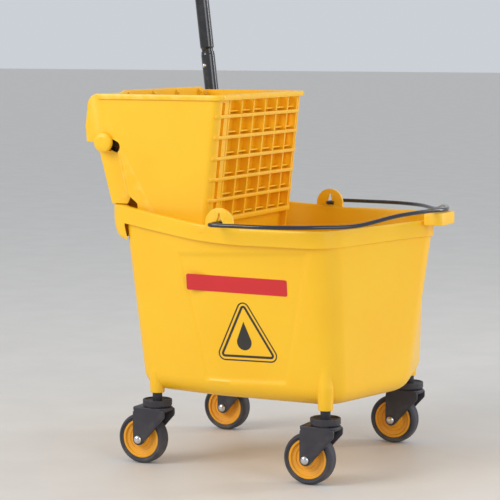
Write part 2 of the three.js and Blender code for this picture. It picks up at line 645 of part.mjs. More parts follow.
function sideWall() {
  const slant = RIB_PROUD;
  return polygon([
    ...hoodOutline(0),
    [frontX(CASE_TOP_Z) - CASE_CORNER, CASE_TOP_Z],
    [frontX(CASE_BOTTOM_Z) - CASE_CORNER - slant, CASE_BOTTOM_Z],
    ...SIDE_EDGE.slice().reverse(),
    [SHAFT.x, HOOD_BOTTOM_Z],
  ]);
}

function rearFrame() {
  return polygon([
    [rearEdgeX(HOOD_BOTTOM_Z + 20), HOOD_BOTTOM_Z + 20],
    [rearEdgeX(ledgeZ), ledgeZ],
    [REAR_X + 8, ledgeZ],
    [SIDE_EDGE[1][0] + 1, SIDE_EDGE[1][1]],
    [SIDE_EDGE[0][0] + 1, HOOD_BOTTOM_Z + 20],
  ]);
}

// thin solid that follows a line in the XZ plane
function strip([x0, z0], [x1, z1], thickness, y0, y1) {
  const side = new THREE.Vector2(z0 - z1, x1 - x0).normalize().multiplyScalar(thickness);
  return prismY(polygon([[x0, z0], [x1, z1], [x1 + side.x, z1 + side.y], [x0 + side.x, z0 + side.y]]), y0, y1);
}

function sideParts(sign) {
  const span = (a, b) => (sign > 0 ? [a, b] : [-b, -a]);
  const wall = prismY(sideWall(), ...span(caseInner, CASE_HALF_WIDTH));
  const frame = prismY(rearFrame(), ...span(rearFrameInner, rearFrameOuter));
  const step = strip(SIDE_EDGE[1], SIDE_EDGE[0], CASE_WALL, ...span(rearFrameInner, CASE_HALF_WIDTH));
  const shelf = block(rearEdgeX(HOOD_BOTTOM_Z), SIDE_EDGE[0][0] + 1, ...span(rearFrameInner, CASE_HALF_WIDTH - 1),
    HOOD_BOTTOM_Z, HOOD_BOTTOM_Z + 4);
  const pad = rodY(CAP_RADIUS + 1, SHAFT.x, SHAFT.y, ...span(rearFrameInner, CASE_HALF_WIDTH), 20);
  return [wall, frame, step, shelf, pad];
}

// front corner: a quarter-round post between the side wall and the first bar
function cornerPost(sign) {
  const post = new THREE.Shape();
  const reach = sign > 0 ? CASE_HALF_WIDTH - LEFT_POST : Math.abs(BAR_FIRST_Y) + BAR_THICKNESS;
  post.moveTo(-CASE_CORNER, CASE_HALF_WIDTH);
  post.absarc(-CASE_CORNER, CASE_HALF_WIDTH - CASE_CORNER, CASE_CORNER, Math.PI / 2, 0, true);
  post.lineTo(0, reach);
  post.lineTo(-GRILLE_DEPTH, reach);
  post.lineTo(-GRILLE_DEPTH, CASE_HALF_WIDTH - CASE_WALL - 1);
  post.lineTo(-CASE_CORNER, CASE_HALF_WIDTH - CASE_WALL);
  post.closePath();
  const solid = prismZ(post, 0, grilleTop - grilleBottom, 5);
  return sign > 0 ? solid : mirrorY(solid);
}

function mirrorY(geometry) {
  const mirrored = geometry.index ? geometry.toNonIndexed() : geometry.clone();
  mirrored.scale(1, -1, 1);
  const position = mirrored.attributes.position;
  for (let i = 0; i < position.count; i += 3) {
    for (const axis of ['X', 'Y', 'Z']) {
      const kept = position[`get${axis}`](i);
      position[`set${axis}`](i, position[`get${axis}`](i + 2));
      position[`set${axis}`](i + 2, kept);
    }
  }
  return mirrored;
}

const grilleTop = CASE_TOP_Z - 2;
const grilleBottom = CASE_BOTTOM_Z;

// the front is drawn upright on x = 0 from z = 0, then tilted into place
function tiltFront(geometry) {
  const shear = new THREE.Matrix4().makeShear(0, 0, 0, 0, Math.tan(FRONT_TILT), 0);
  return geometry.applyMatrix4(shear).translate(frontX(grilleBottom), 0, grilleBottom);
}

function ribShape(reach) {
  const rib = new THREE.Shape();
  const proud = RIB_PROUD;
  const corner = CASE_CORNER;
  rib.moveTo(-GRILLE_DEPTH, -reach);
  rib.lineTo(-corner + 4, -reach);
  rib.absarc(-corner, -CASE_HALF_WIDTH + corner, corner + proud, -RIB_WRAP, 0, false);
  rib.absarc(-corner, CASE_HALF_WIDTH - corner, corner + proud, 0, RIB_WRAP, false);
  rib.lineTo(-corner + 4, reach);
  rib.lineTo(-GRILLE_DEPTH, reach);
  rib.closePath();
  return rib;
}

function frontParts() {
  const height = grilleTop - grilleBottom;
  const refZ = FRONT_REF_Z - grilleBottom;
  const ribs = Array.from({ length: RIB_COUNT }, (_, i) => {
    const z = refZ - i * RIB_PITCH;
    const thick = i === RIB_COUNT - 1 ? RIB_HEIGHT + 2 : RIB_HEIGHT;
    return prismZ(ribShape(CASE_HALF_WIDTH - 12), z - thick / 2, z + thick / 2, 3);
  });
  const barFrom = refZ - (RIB_COUNT - 1) * RIB_PITCH;
  const bars = Array.from({ length: BAR_COUNT }, (_, i) => {
    const y = BAR_FIRST_Y + i * BAR_PITCH;
    return block(-GRILLE_DEPTH, 0, y - BAR_THICKNESS / 2, y + BAR_THICKNESS / 2, barFrom, height);
  });
  const halfLiner = CASE_HALF_WIDTH - 10;
  const liner = block(-GRILLE_DEPTH, -GRILLE_DEPTH + LINER, -halfLiner, halfLiner, 0, height);
  const lowPanel = block(-GRILLE_DEPTH, -GRILLE_DEPTH + LINER + 3, -halfLiner, halfLiner,
    barFrom - LOW_PANEL_HEIGHT, barFrom);
  const posts = [cornerPost(-1), cornerPost(1)];
  const solid = join(liner, lowPanel, ...posts, ...bars, ...ribs);
  const slots = Array.from({ length: BAR_COUNT - 1 }, (_, i) => {
    const y = BAR_FIRST_Y + (i + 0.5) * BAR_PITCH;
    return block(-GRILLE_DEPTH - 1, -GRILLE_DEPTH + LINER + 1, y - SLOT_WIDTH / 2, y + SLOT_WIDTH / 2,
      barFrom + 8, height - 14);
  });
  const drains = Array.from({ length: BAR_COUNT - 1 }, (_, i) => {
    const y = BAR_FIRST_Y + (i + 0.5) * BAR_PITCH;
    return block(-GRILLE_DEPTH - 1, 1, y - SLOT_WIDTH / 2, y + SLOT_WIDTH / 2, 12, barFrom - LOW_PANEL_HEIGHT - 6);
  });
  return tiltFront(cut(solid, ...slots, ...drains));
}

function floorPart() {
  const front = frontX(CASE_BOTTOM_Z) - GRILLE_DEPTH + 1;
  const rear = SIDE_EDGE[4][0];
  const plate = block(rear, front, -caseInner - 1, caseInner + 1, CASE_BOTTOM_Z, CASE_BOTTOM_Z + CASE_WALL);
  const slots = Array.from({ length: BAR_COUNT }, (_, i) => {
    const y = (i - (BAR_COUNT - 1) / 2) * (BAR_PITCH - 4);
    return block(rear + 12, front - 10, y - DRAIN_SLOT_HALF, y + DRAIN_SLOT_HALF, CASE_BOTTOM_Z - 1, CASE_BOTTOM_Z + CASE_WALL + 1);
  });
  return cut(plate, ...slots);
}

function rimLip() {
  const outerY = CASE_HALF_WIDTH + LIP_OUT;
  const outerX = frontX(CASE_TOP_Z) + FRONT_LIP;
  const innerX = frontX(CASE_TOP_Z) - 4;
  const rear = HOOD_X + HOOD_RADIUS;
  const shape = new THREE.Shape();
  shape.moveTo(rear, -outerY);
  shape.lineTo(outerX - CASE_CORNER, -outerY);
  shape.absarc(outerX - CASE_CORNER, -outerY + CASE_CORNER, CASE_CORNER, -Math.PI / 2, 0, false);
  shape.absarc(outerX - CASE_CORNER, outerY - CASE_CORNER, CASE_CORNER, 0, Math.PI / 2, false);
  shape.lineTo(rear, outerY);
  shape.closePath();
  const hole = new THREE.Path();
  const cornerRadius = CASE_CORNER - 4;
  hole.moveTo(MOUTH_X, -caseInner);
  hole.lineTo(innerX - cornerRadius, -caseInner);
  hole.absarc(innerX - cornerRadius, -caseInner + cornerRadius, cornerRadius, -Math.PI / 2, 0, false);
  hole.absarc(innerX - cornerRadius, caseInner - cornerRadius, cornerRadius, 0, Math.PI / 2, false);
  hole.lineTo(MOUTH_X, caseInner);
  hole.closePath();
  shape.holes.push(hole);
  return prismZ(shape, CASE_TOP_Z - LIP_HEIGHT, CASE_TOP_Z, 4);
}

function hoodPart() {
  const outer = hoodOutline(0);
  const inner = hoodOutline(CASE_WALL).reverse();
  return prismY(polygon([...outer, ...inner]), -CASE_HALF_WIDTH, CASE_HALF_WIDTH);
}

function rearParts() {
  const topZ = CASE_TOP_Z - HOOD_RADIUS + 4;
  const wall = prismY(polygon([
    [rearEdgeX(topZ), topZ], [rearEdgeX(ledgeZ), ledgeZ],
    [rearEdgeX(ledgeZ) + WALL, ledgeZ], [rearEdgeX(topZ) + WALL, topZ],
  ]), -rearFrameOuter, rearFrameOuter);
  const backRim = new THREE.Shape();
  const low = CASE_TOP_Z - BACK_RIM_DEPTH;
  const top = CASE_TOP_Z + BACK_RIM_RISE;
  const half = BACK_RIM_HALF;
  backRim.moveTo(-half - 8, low);
  backRim.lineTo(half + 8, low);
  backRim.lineTo(half + 8, CASE_TOP_Z - 1);
  backRim.lineTo(half, top - 1);
  backRim.lineTo(half - 6, top);
  backRim.lineTo(6 - half, top);
  backRim.lineTo(-half, top - 1);
  backRim.lineTo(-half - 8, CASE_TOP_Z - 1);
  backRim.closePath();
  const back = new THREE.ExtrudeGeometry(backRim, { depth: CASE_WALL, bevelEnabled: false });
  const basis = new THREE.Matrix4().makeBasis(
    new THREE.Vector3(0, 1, 0), new THREE.Vector3(0, 0, 1), new THREE.Vector3(1, 0, 0));
  back.applyMatrix4(basis).translate(MOUTH_X - CASE_WALL, 0, 0);
  const gussets = Array.from({ length: GUSSETS }, (_, i) => {
    const y = (i - (GUSSETS - 1) / 2) * GUSSET_PITCH;
    const shape = polygon([[MOUTH_X - 1, low], [MOUTH_X + GUSSET_DEPTH, CASE_TOP_Z - 2], [MOUTH_X - 1, top - 2]]);
    return prismY(shape, y - 1.5, y + 1.5);
  });
  return [wall, back, ...gussets];
}

function makeCase(parent) {
  const solid = join(...sideParts(-1), ...sideParts(1), frontParts(), floorPart(), rimLip(), hoodPart(),
    ...rearParts());
  const through = CASE_HALF_WIDTH + 5;
  const shaftSlot = prismY(capsule(SHAFT, SHAFT_SLOT_END, SHAFT_SLOT_RADIUS), -through, through);
  const pivotHole = rodY(PIVOT_RADIUS + RUNNING, PIVOT.x, PIVOT.y, -through, through, 12);
  addMesh('wringer_case', cut(solid, shaftSlot, pivotHole), YELLOW, parent);
}

// ---- press mechanism ----------------------------------------------------------------------------
const plateUp = new THREE.Vector2(Math.sin(PLATE_LEAN), Math.cos(PLATE_LEAN));
const plateOut = new THREE.Vector2(Math.cos(PLATE_LEAN), -Math.sin(PLATE_LEAN));
const onPlate = (up, out) => PIVOT.clone().addScaledVector(plateUp, up).addScaledVector(plateOut, out);
const asPair = (v) => [v.x, v.y];

const crankPin = (turn) => new THREE.Vector2(
  SHAFT.x + CRANK_LENGTH * Math.cos(CRANK_REST + turn),
  SHAFT.y + CRANK_LENGTH * Math.sin(CRANK_REST + turn));

// where the crank pin is, seen from the resting press plate, at each share of the travel
function slotLine(steps) {
  return Array.from({ length: steps + 1 }, (_, i) => {
    const share = i / steps;
    return crankPin(LEVER_TRAVEL * share).rotateAround(PIVOT, PLATE_SWING * share);
  });
}

// outline at a distance from an open line, with round ends
function around(line, distance, capSteps = 6) {
  const direction = (i) => line[Math.min(i + 1, line.length - 1)].clone()
    .sub(line[Math.max(i - 1, 0)]).angle();
  const at = (i, angle) => [line[i].x + distance * Math.cos(angle), line[i].y + distance * Math.sin(angle)];
  const last = line.length - 1;
  const right = line.map((_, i) => at(i, direction(i) - Math.PI / 2));
  const left = line.map((_, i) => at(i, direction(i) + Math.PI / 2)).reverse();
  const cap = (i, start) => Array.from({ length: capSteps - 1 }, (_, k) =>
    at(i, start + (Math.PI * (k + 1)) / capSteps));
  return [...right, ...cap(last, direction(last) - Math.PI / 2), ...left, ...cap(0, direction(0) + Math.PI / 2)];
}

function webGeometry(y0) {
  const line = slotLine(16);
  const y1 = y0 + WEB_THICKNESS;
  const rim = prismY(polygon(around(line, CRANK_PIN_RADIUS + SLOT_PLAY + WEB_MARGIN)), y0, y1);
  const first = line[0];
  const last = line[line.length - 1];
  const body = prismY(polygon([
    asPair(onPlate(-6, -8)), asPair(onPlate(-6, PLATE_STANDOFF + 1)),
    asPair(onPlate(PLATE_HEIGHT - 60, PLATE_STANDOFF + 1)),
    asPair(last), asPair(first), [REAR_X + WALL + 14, ledgeZ + 6], asPair(onPlate(30, -8)),
  ]), y0, y1);
  const knuckle = rodY(10, PIVOT.x, PIVOT.y, y0, y1, 14);
  const slot = prismY(polygon(around(line, CRANK_PIN_RADIUS + SLOT_PLAY)), y0 - 1, y1 + 1);
  return { solid: [rim, body, knuckle], slot };
}

function makePressPlate(parent) {
  const half = caseInner - PLATE_SIDE_GAP;
  const back = PLATE_STANDOFF;
  const front = PLATE_STANDOFF + PLATE_THICKNESS;
  const board = prismY(polygon([
    asPair(onPlate(-PLATE_BELOW, back)), asPair(onPlate(-PLATE_BELOW, front)),
    asPair(onPlate(PLATE_HEIGHT, front)), asPair(onPlate(PLATE_HEIGHT, back)),
  ]), -half, half);
  const pitch = (2 * half - 10) / PLATE_SLOTS;
  const ribs = Array.from({ length: PLATE_SLOTS + 1 }, (_, i) => {
    const y = -half + 5 + i * pitch;
    const shape = polygon([
      asPair(onPlate(-PLATE_BELOW + 4, front - 1)), asPair(onPlate(-PLATE_BELOW + 4, front + PLATE_RIB)),
      asPair(onPlate(PLATE_HEIGHT - 14, front + PLATE_RIB)), asPair(onPlate(PLATE_HEIGHT - 4, front - 1)),
    ]);
    return prismY(shape, y - 2.5, y + 2.5);
  });
  const slots = Array.from({ length: PLATE_SLOTS }, (_, i) => {
    const y = -half + 5 + (i + 0.5) * pitch;
    return [0.1, 0.53].map((share) => {
      const low = PLATE_HEIGHT * share;
      const high = low + PLATE_HEIGHT * 0.36;
      return prismY(polygon([asPair(onPlate(low, back - 1)), asPair(onPlate(low, front + 1)),
        asPair(onPlate(high, front + 1)), asPair(onPlate(high, back - 1))]), y - 6, y + 6);
    });
  }).flat();
  const webs = [webGeometry(CRANK_Y - CRANK_GAP - WEB_THICKNESS), webGeometry(-CRANK_Y + CRANK_GAP)];
  const rodHole = rodY(PIVOT_RADIUS + RUNNING, PIVOT.x, PIVOT.y, -half, half, 12);
  const slotted = cut(board, ...slots);
  const solid = join(slotted, ...ribs, ...webs.flatMap((web) => web.solid));
  addMesh('press_plate', cut(solid, ...webs.map((web) => web.slot), rodHole), YELLOW, parent);
  const end = CASE_HALF_WIDTH + 1;
  const pivotRod = latheY([[0, -end - 2], [6, -end - 2], [6, -end + 0.7], [PIVOT_RADIUS, -end + 0.7],
    [PIVOT_RADIUS, end - 0.7], [6, end - 0.7], [6, end + 2], [0, end + 2]], 12).translate(PIVOT.x, 0, PIVOT.y);
  addMesh('plate_pivot_rod', pivotRod, ZINC, parent);
}

const leverFrame = () => {
  const group = new THREE.Group();
  group.position.set(SHAFT.x, 0, SHAFT.y);
  return group;
};

function makeCranks(parent) {
  const turning = leverFrame();
  parent.add(turning);
  const capInner = -CASE_HALF_WIDTH - GAP;
  const bracketInner = LEVER_Y - TUBE_RADIUS - GAP - BRACKET_THICKNESS;
  const shaftEnd = bracketInner + BRACKET_THICKNESS + 8;
  addMesh('cross_shaft', rod(SHAFT_RADIUS, capInner - CAP_LENGTH + 3, shaftEnd, 16), BLACK_STEEL, turning);
  const cap = latheY([[0, capInner - CAP_LENGTH], [CAP_RADIUS - 2, capInner - CAP_LENGTH],
    [CAP_RADIUS, capInner - CAP_LENGTH + 2], [CAP_RADIUS, capInner], [SHAFT_RADIUS + GAP, capInner],
    [SHAFT_RADIUS + GAP, capInner - CAP_LENGTH + 3 - GAP], [0, capInner - CAP_LENGTH + 3 - GAP]], 24);
  addMesh('shaft_cap', cap, YELLOW, turning);
  for (const [side, sign] of [['left', 1], ['right', -1]]) {
    const tip = crankPin(0).sub(SHAFT);
    const y0 = sign > 0 ? CRANK_Y : -CRANK_Y - CRANK_THICKNESS;
    const arm = prismY(capsule(new THREE.Vector2(0, 0), tip, CRANK_WIDTH / 2), y0, y0 + CRANK_THICKNESS);
    const hub = rod(CRANK_HUB_RADIUS, y0, y0 + CRANK_THICKNESS, 16);
    const bore = rod(SHAFT_RADIUS + GAP, y0 - 1, y0 + CRANK_THICKNESS + 1, 16);
    const pinHole = rodY(CRANK_PIN_RADIUS - 1 + GAP, tip.x, tip.y, y0 - 1, y0 + CRANK_THICKNESS + 1, 12);
    addMesh(`crank_arm_${side}`, cut(join(arm, hub), bore, pinHole), BLACK_STEEL, turning);
    const inner = CRANK_Y - CRANK_GAP - WEB_THICKNESS - 3;
    const pin = latheY([[0, inner], [CRANK_PIN_RADIUS, inner], [CRANK_PIN_RADIUS, CRANK_Y - GAP],
      [CRANK_PIN_RADIUS - 1, CRANK_Y - GAP], [CRANK_PIN_RADIUS - 1, CRANK_Y + CRANK_THICKNESS + 1],
      [0, CRANK_Y + CRANK_THICKNESS + 1]], 12);
    const placed = sign > 0 ? pin : mirrorY(pin);
    addMesh(`crank_pin_${side}`, placed.translate(tip.x, 0, tip.y), ZINC, turning);
    const spacerFrom = CRANK_Y + CRANK_THICKNESS + GAP;
    const spacer = ring(SHAFT_RADIUS + GAP, SPACER_RADIUS, spacerFrom, rearFrameInner - GAP, 14);
    addMesh(`shaft_spacer_${side}`, sign > 0 ? spacer : mirrorY(spacer), BLACK_PLASTIC, turning);
  }
  return { turning, bracketInner };
}

// ---- lever --------------------------------------------------------------------------------------
function makeLever(parent) {
  const { turning, bracketInner } = makeCranks(parent);
  const lever = new THREE.Group();
  lever.rotation.y = LEVER_LEAN;
  turning.add(lever);
  const bracketOuter = bracketInner + BRACKET_THICKNESS;
  const tubeX = LEVER_OFFSET;
  const plate = join(
    rod(BRACKET_RADIUS, bracketInner, bracketOuter, 18),
    prismY(polygon([[0, -BRACKET_RADIUS], [tubeX + 8, -SOCKET_BELOW], [tubeX + 8, BOLT_HIGH + 12],
      [tubeX - 8, BOLT_HIGH + 12], [-9, 10]]), bracketInner, bracketOuter));
  const holes = [BOLT_LOW, BOLT_HIGH].map((z) =>
    rodY(BOLT_RADIUS + GAP, tubeX, z, bracketInner - 1, bracketOuter + 1, 10));
  addMesh('lever_bracket', cut(plate, rod(SHAFT_RADIUS + GAP, bracketInner - 1, bracketOuter + 1, 16), ...holes),
    BLACK_STEEL, lever);
  addMesh('lever_hub_nut', hexNut(SHAFT_RADIUS + GAP, 13, bracketOuter + GAP, bracketOuter + 7), ZINC, lever);
  const tubes = new THREE.Group();
  tubes.position.set(tubeX, LEVER_Y, 0);
  lever.add(tubes);
  const boltFrom = bracketInner - LEVER_Y;
  const bolts = [['low', BOLT_LOW], ['high', BOLT_HIGH]];
  const crossHoles = bolts.map(([, z]) => rodY(BOLT_RADIUS + GAP, 0, z, -TUBE_RADIUS - 2, TUBE_RADIUS + 2, 10));
  const buttonHole = rod(BUTTON_RADIUS + RUNNING, -TUBE_RADIUS - 2, 0, 12)
    .rotateZ(-BUTTON_TURN).translate(0, 0, BUTTON_ALONG);
  const socket = latheZ([[TUBE_RADIUS - TUBE_WALL, -SOCKET_BELOW], [TUBE_RADIUS, -SOCKET_BELOW],
    [TUBE_RADIUS, SOCKET_LENGTH - 2], [TUBE_RADIUS - 0.6, SOCKET_LENGTH],
    [TUBE_RADIUS - TUBE_WALL, SOCKET_LENGTH], [TUBE_RADIUS - TUBE_WALL, -SOCKET_BELOW]], 20);
  addMesh('lever_socket', cut(socket, ...crossHoles, buttonHole), BLACK_STEEL, tubes);
  const neckTop = SOCKET_LENGTH + NECK_SHOWN;
  const neckIn = NECK_RADIUS - TUBE_WALL;
  const gripFrom = TUBE_TOP - GRIP_LENGTH;
  const tube = latheZ([[neckIn, SOCKET_LENGTH - NECK_LENGTH], [NECK_RADIUS, SOCKET_LENGTH - NECK_LENGTH],
    [NECK_RADIUS, neckTop], [TUBE_RADIUS, neckTop + 3], [TUBE_RADIUS, TUBE_TOP - 4],
    [TUBE_RADIUS - TUBE_WALL, TUBE_TOP - 4], [TUBE_RADIUS - TUBE_WALL, neckTop + 4], [neckIn, neckTop + 1],
    [neckIn, SOCKET_LENGTH - NECK_LENGTH]], 20);
  addMesh('lever_tube', cut(tube, buttonHole), BLACK_STEEL, tubes);
  for (const [place, z] of bolts) {
    const nutFrom = boltFrom - GAP - 3.5;
    const head = TUBE_RADIUS + GAP;
    const bolt = latheY([[0, nutFrom - 0.5], [BOLT_RADIUS, nutFrom - 0.5], [BOLT_RADIUS, head], [5.5, head],
      [5.5, head + 2], [3.5, head + 3.6], [0, head + 3.6]], 12);
    addMesh(`bracket_bolt_${place}`, bolt.translate(0, 0, z), ZINC, tubes);
    addMesh(`bracket_nut_${place}`, hexNut(BOLT_RADIUS + GAP, 5.5, nutFrom, boltFrom - GAP).translate(0, 0, z),
      ZINC, tubes);
  }
  const buttonFrom = -TUBE_RADIUS - BUTTON_OUT;
  const button = latheY([[0, buttonFrom], [BUTTON_RADIUS - 1.4, buttonFrom + 0.4], [BUTTON_RADIUS, buttonFrom + 2],
    [BUTTON_RADIUS, -NECK_RADIUS + TUBE_WALL + 1], [0, -NECK_RADIUS + TUBE_WALL + 1]], 12);
  addMesh('snap_button', button.rotateZ(-BUTTON_TURN).translate(0, 0, BUTTON_ALONG), CHROME, tubes);
  const leafTop = BUTTON_ALONG + 5;
  const leafOuter = -NECK_RADIUS + TUBE_WALL + 1 + GAP;
  const leaf = new THREE.ExtrudeGeometry(polygon([[leafOuter, leafTop], [leafOuter, leafTop - 12],
    [4, SOCKET_LENGTH - NECK_LENGTH - 8], [5, leafTop - 6], [4.2, leafTop - 6], [3.4, leafTop - 18],
    [leafOuter + 0.8, leafTop - 10], [leafOuter + 0.8, leafTop]]), { depth: 5, bevelEnabled: false });
  leaf.applyMatrix4(new THREE.Matrix4().makeBasis(new THREE.Vector3(0, 1, 0), new THREE.Vector3(0, 0, 1),
    new THREE.Vector3(1, 0, 0))).translate(-2.5, 0, 0).rotateZ(-BUTTON_TURN);
  addMesh('button_spring', leaf, ZINC, tubes);
  const gripIn = TUBE_RADIUS + GAP;
  const grip = latheZ([[gripIn, gripFrom], [gripIn + GRIP_WALL - 1, gripFrom], [gripIn + GRIP_WALL, gripFrom + 2],
    [gripIn + GRIP_WALL, TUBE_TOP - 4], [gripIn, TUBE_TOP - 4], [gripIn, gripFrom]], 20);
  addMesh('lever_grip', grip, GRIP_RUBBER, tubes);
  const plugIn = TUBE_RADIUS - TUBE_WALL - GAP;
  const endCap = latheZ([[0, TUBE_TOP - 22], [plugIn, TUBE_TOP - 22], [plugIn, TUBE_TOP - 4 + GAP],
    [gripIn + GRIP_WALL, TUBE_TOP - 4 + GAP], [gripIn + GRIP_WALL - 0.5, TUBE_TOP + 1],
    [gripIn + GRIP_WALL - 4, TUBE_TOP + 4], [0, TUBE_TOP + 5]], 20);
  addMesh('lever_end_cap', endCap, BLACK_PLASTIC, tubes);
}

makeBucket();
makeHandle();
makeCasters();
makeCase(part);
makePressPlate(part);
makeLever(part);

export default part;
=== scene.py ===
# %% [markdown]
# # A mop bucket on four casters, with a lift-off side-press wringer
#
# The bucket, the wringer and the press plate are injection moulded in one bright yellow plastic. The handle
# is a bent wire, the press lever is a black enamelled tube, and the casters are black nylon with yellow
# hubs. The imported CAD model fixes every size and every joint. This lesson makes the fine surfaces around
# it: moulded edges that catch the light, a recessed side panel, a grille with its ledges, and worn,
# slightly grainy finishes.

import math
from contextlib import contextmanager

import bmesh
import bpy
import numpy as np
from mathutils import Matrix, Vector


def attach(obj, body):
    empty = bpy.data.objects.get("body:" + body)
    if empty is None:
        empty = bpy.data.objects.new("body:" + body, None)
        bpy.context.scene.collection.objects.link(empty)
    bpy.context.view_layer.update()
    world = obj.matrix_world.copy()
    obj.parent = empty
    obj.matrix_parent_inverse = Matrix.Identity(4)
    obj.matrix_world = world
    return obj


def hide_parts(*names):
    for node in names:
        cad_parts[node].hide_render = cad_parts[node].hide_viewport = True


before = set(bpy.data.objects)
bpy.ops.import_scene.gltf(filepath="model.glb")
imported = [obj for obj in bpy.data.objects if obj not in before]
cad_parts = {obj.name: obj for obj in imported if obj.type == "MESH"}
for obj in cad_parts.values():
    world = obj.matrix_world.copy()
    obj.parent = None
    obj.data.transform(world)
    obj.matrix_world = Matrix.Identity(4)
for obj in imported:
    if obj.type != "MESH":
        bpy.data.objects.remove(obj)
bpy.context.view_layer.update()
MM = 0.001


# %% An object in the scene around given data
def shown(name, data):
    thing = bpy.data.objects.new(name, data)
    bpy.context.scene.collection.objects.link(thing)
    return thing


def look_from(thing, place, target):
    """Puts a camera or a lamp at a place, aimed at a target."""
    thing.location = place
    thing.rotation_mode = "QUATERNION"
    thing.rotation_quaternion = (Vector(target) - Vector(place)).to_track_quat("-Z", "Y")

# %% [markdown]
# ## The camera first
#
# A long lens from low on the right, about 3 m away, keeps the bucket's uprights nearly parallel. The camera
# stays level with the object's waist and is shifted down instead of tilted, as an architect's camera is, so
# the bucket's near corner doesn't lean. The shift is small enough to be harmless in the other views.

# %% Camera
CAMERA_TARGET = Vector((-0.053, 0.0, 0.25))
CAMERA_AZIMUTH = math.radians(25.91)
CAMERA_ELEVATION = math.radians(7.37)
CAMERA_DISTANCE = 2.97
CAMERA_LENS = 140.9
CAMERA_SHIFT = 0.0786


def add_camera():
    data = bpy.data.cameras.new("studio_camera")
    data.lens = CAMERA_LENS
    data.shift_y = CAMERA_SHIFT
    data.clip_start = 0.1
    data.clip_end = 40
    camera = shown("studio_camera", data)
    level = math.cos(CAMERA_ELEVATION)
    away = Vector((math.sin(CAMERA_AZIMUTH) * level, -math.cos(CAMERA_AZIMUTH) * level,
                   math.sin(CAMERA_ELEVATION)))
    look_from(camera, CAMERA_TARGET + CAMERA_DISTANCE * away, CAMERA_TARGET)
    bpy.context.scene.camera = camera
    return camera


print("camera at", [round(c, 3) for c in add_camera().location])

# %% [markdown]
# ## Helpers for closed solids
#
# Moulded and turned parts need only a few kinds of solid: an outline with rounded corners pushed along an
# axis, a profile turned about an axis, and a stack of rings joined side by side. Each helper takes
# millimetres in the CAD frame and returns an object at the origin, with its place in its mesh, so nothing
# is fitted afterwards. Sharp corners are rounded in the outline itself, because a real mould has no knife
# edges and the thin bright line on a rounded edge is what makes plastic look moulded.

# %% Meshes in millimetres
CREASE = 38


def shaded(mesh, crease=CREASE):
    mesh.shade_smooth()
    mesh.set_sharp_from_angle(angle=math.radians(crease))


@contextmanager
def editing(mesh):
    """The mesh as a bmesh, written back when the block ends."""
    work = bmesh.new()
    work.from_mesh(mesh)
    yield work
    work.to_mesh(mesh)
    work.free()


def soften(work, edges, width, profile):
    """Rounds edges of a bmesh with two segments; width is in millimetres."""
    bmesh.ops.bevel(work, geom=edges, offset=width * MM, offset_type="OFFSET", segments=2, profile=profile,
                    affect="EDGES", clamp_overlap=True)


def new_piece(name, verts, faces, crease=CREASE):
    mesh = bpy.data.meshes.new(name)
    mesh.from_pydata((np.asarray(verts, float) * MM).tolist(), [], faces)
    with editing(mesh) as work:
        bmesh.ops.remove_doubles(work, verts=work.verts, dist=1e-6)
        bmesh.ops.dissolve_degenerate(work, edges=work.edges, dist=1e-7)
        bmesh.ops.recalc_face_normals(work, faces=work.faces)
    shaded(mesh, crease)
    return shown(name, mesh)


# %% Outlines with rounded corners: points are (a, b) or (a, b, radius)
def rounded(points, closed=True, steps=5):
    made = []
    for i, point in enumerate(points):
        corner = Vector(point[:2])
        before = Vector(points[i - 1][:2]) - corner
        after = Vector(points[(i + 1) % len(points)][:2]) - corner
        is_end = not closed and i in (0, len(points) - 1)
        if len(point) < 3 or is_end or before.length * after.length == 0:
            made.append(tuple(corner))
            continue
        half = before.angle(after) / 2
        back = min(point[2] / math.tan(half), 0.49 * before.length, 0.49 * after.length)
        radius = back * math.tan(half)
        centre = corner + (before.normalized() + after.normalized()).normalized() * (radius / math.sin(half))
        first = corner + before.normalized() * back - centre
        last = corner + after.normalized() * back - centre
        turn = first.angle_signed(last)
        for k in range(steps + 1):
            made.append(tuple(centre + Matrix.Rotation(-turn * k / steps, 2) @ first))
    return made


def arc_points(x, z, radius, start, end, count):
    return [(x + radius * math.cos(t), z + radius * math.sin(t)) for t in np.linspace(start, end, count)]


def span(side, low, high):
    """Two limits on the +Y side, or in order on the -Y side where side is -1."""
    return sorted((side * low, side * high))


# %% A rounded outline pushed along an axis
PLACES = {"X": lambda a, b, c: (c, a, b), "Y": lambda a, b, c: (a, c, b), "Z": lambda a, b, c: (a, b, c)}


def prism(outline, low, high, axis="Y", edge=0.0, name="solid", keep=lambda co: True):
    count = len(outline)
    verts = [PLACES[axis](a, b, c) for c in (low, high) for a, b in outline]
    sides = [(i, (i + 1) % count, count + (i + 1) % count, count + i) for i in range(count)]
    piece = new_piece(name, verts, [tuple(range(count)), tuple(range(count, 2 * count)), *sides])
    if edge:
        round_rims(piece, axis, edge, keep)
    return piece


def round_rims(piece, axis, edge, keep):
    """Rounds the edges round both ends of a prism, where keep(place in mm) is true for the edge's middle."""
    k = "XYZ".index(axis)
    with editing(piece.data) as work:
        rims = [e for e in work.edges if abs(e.verts[0].co[k] - e.verts[1].co[k]) < 1e-7
                and keep((e.verts[0].co + e.verts[1].co) / 2 / MM)]
        soften(work, rims, edge, 0.5)
    shaded(piece.data)


def box(x, y, z, edge=0.0, corner=0.0):
    """A block between pairs of limits, rounded by corner in plan and by edge at its top and bottom."""
    outline = [(x[0], y[0], corner), (x[1], y[0], corner), (x[1], y[1], corner), (x[0], y[1], corner)]
    if not corner:
        outline = [point[:2] for point in outline]
    return prism(rounded(outline), z[0], z[1], "Z", edge)


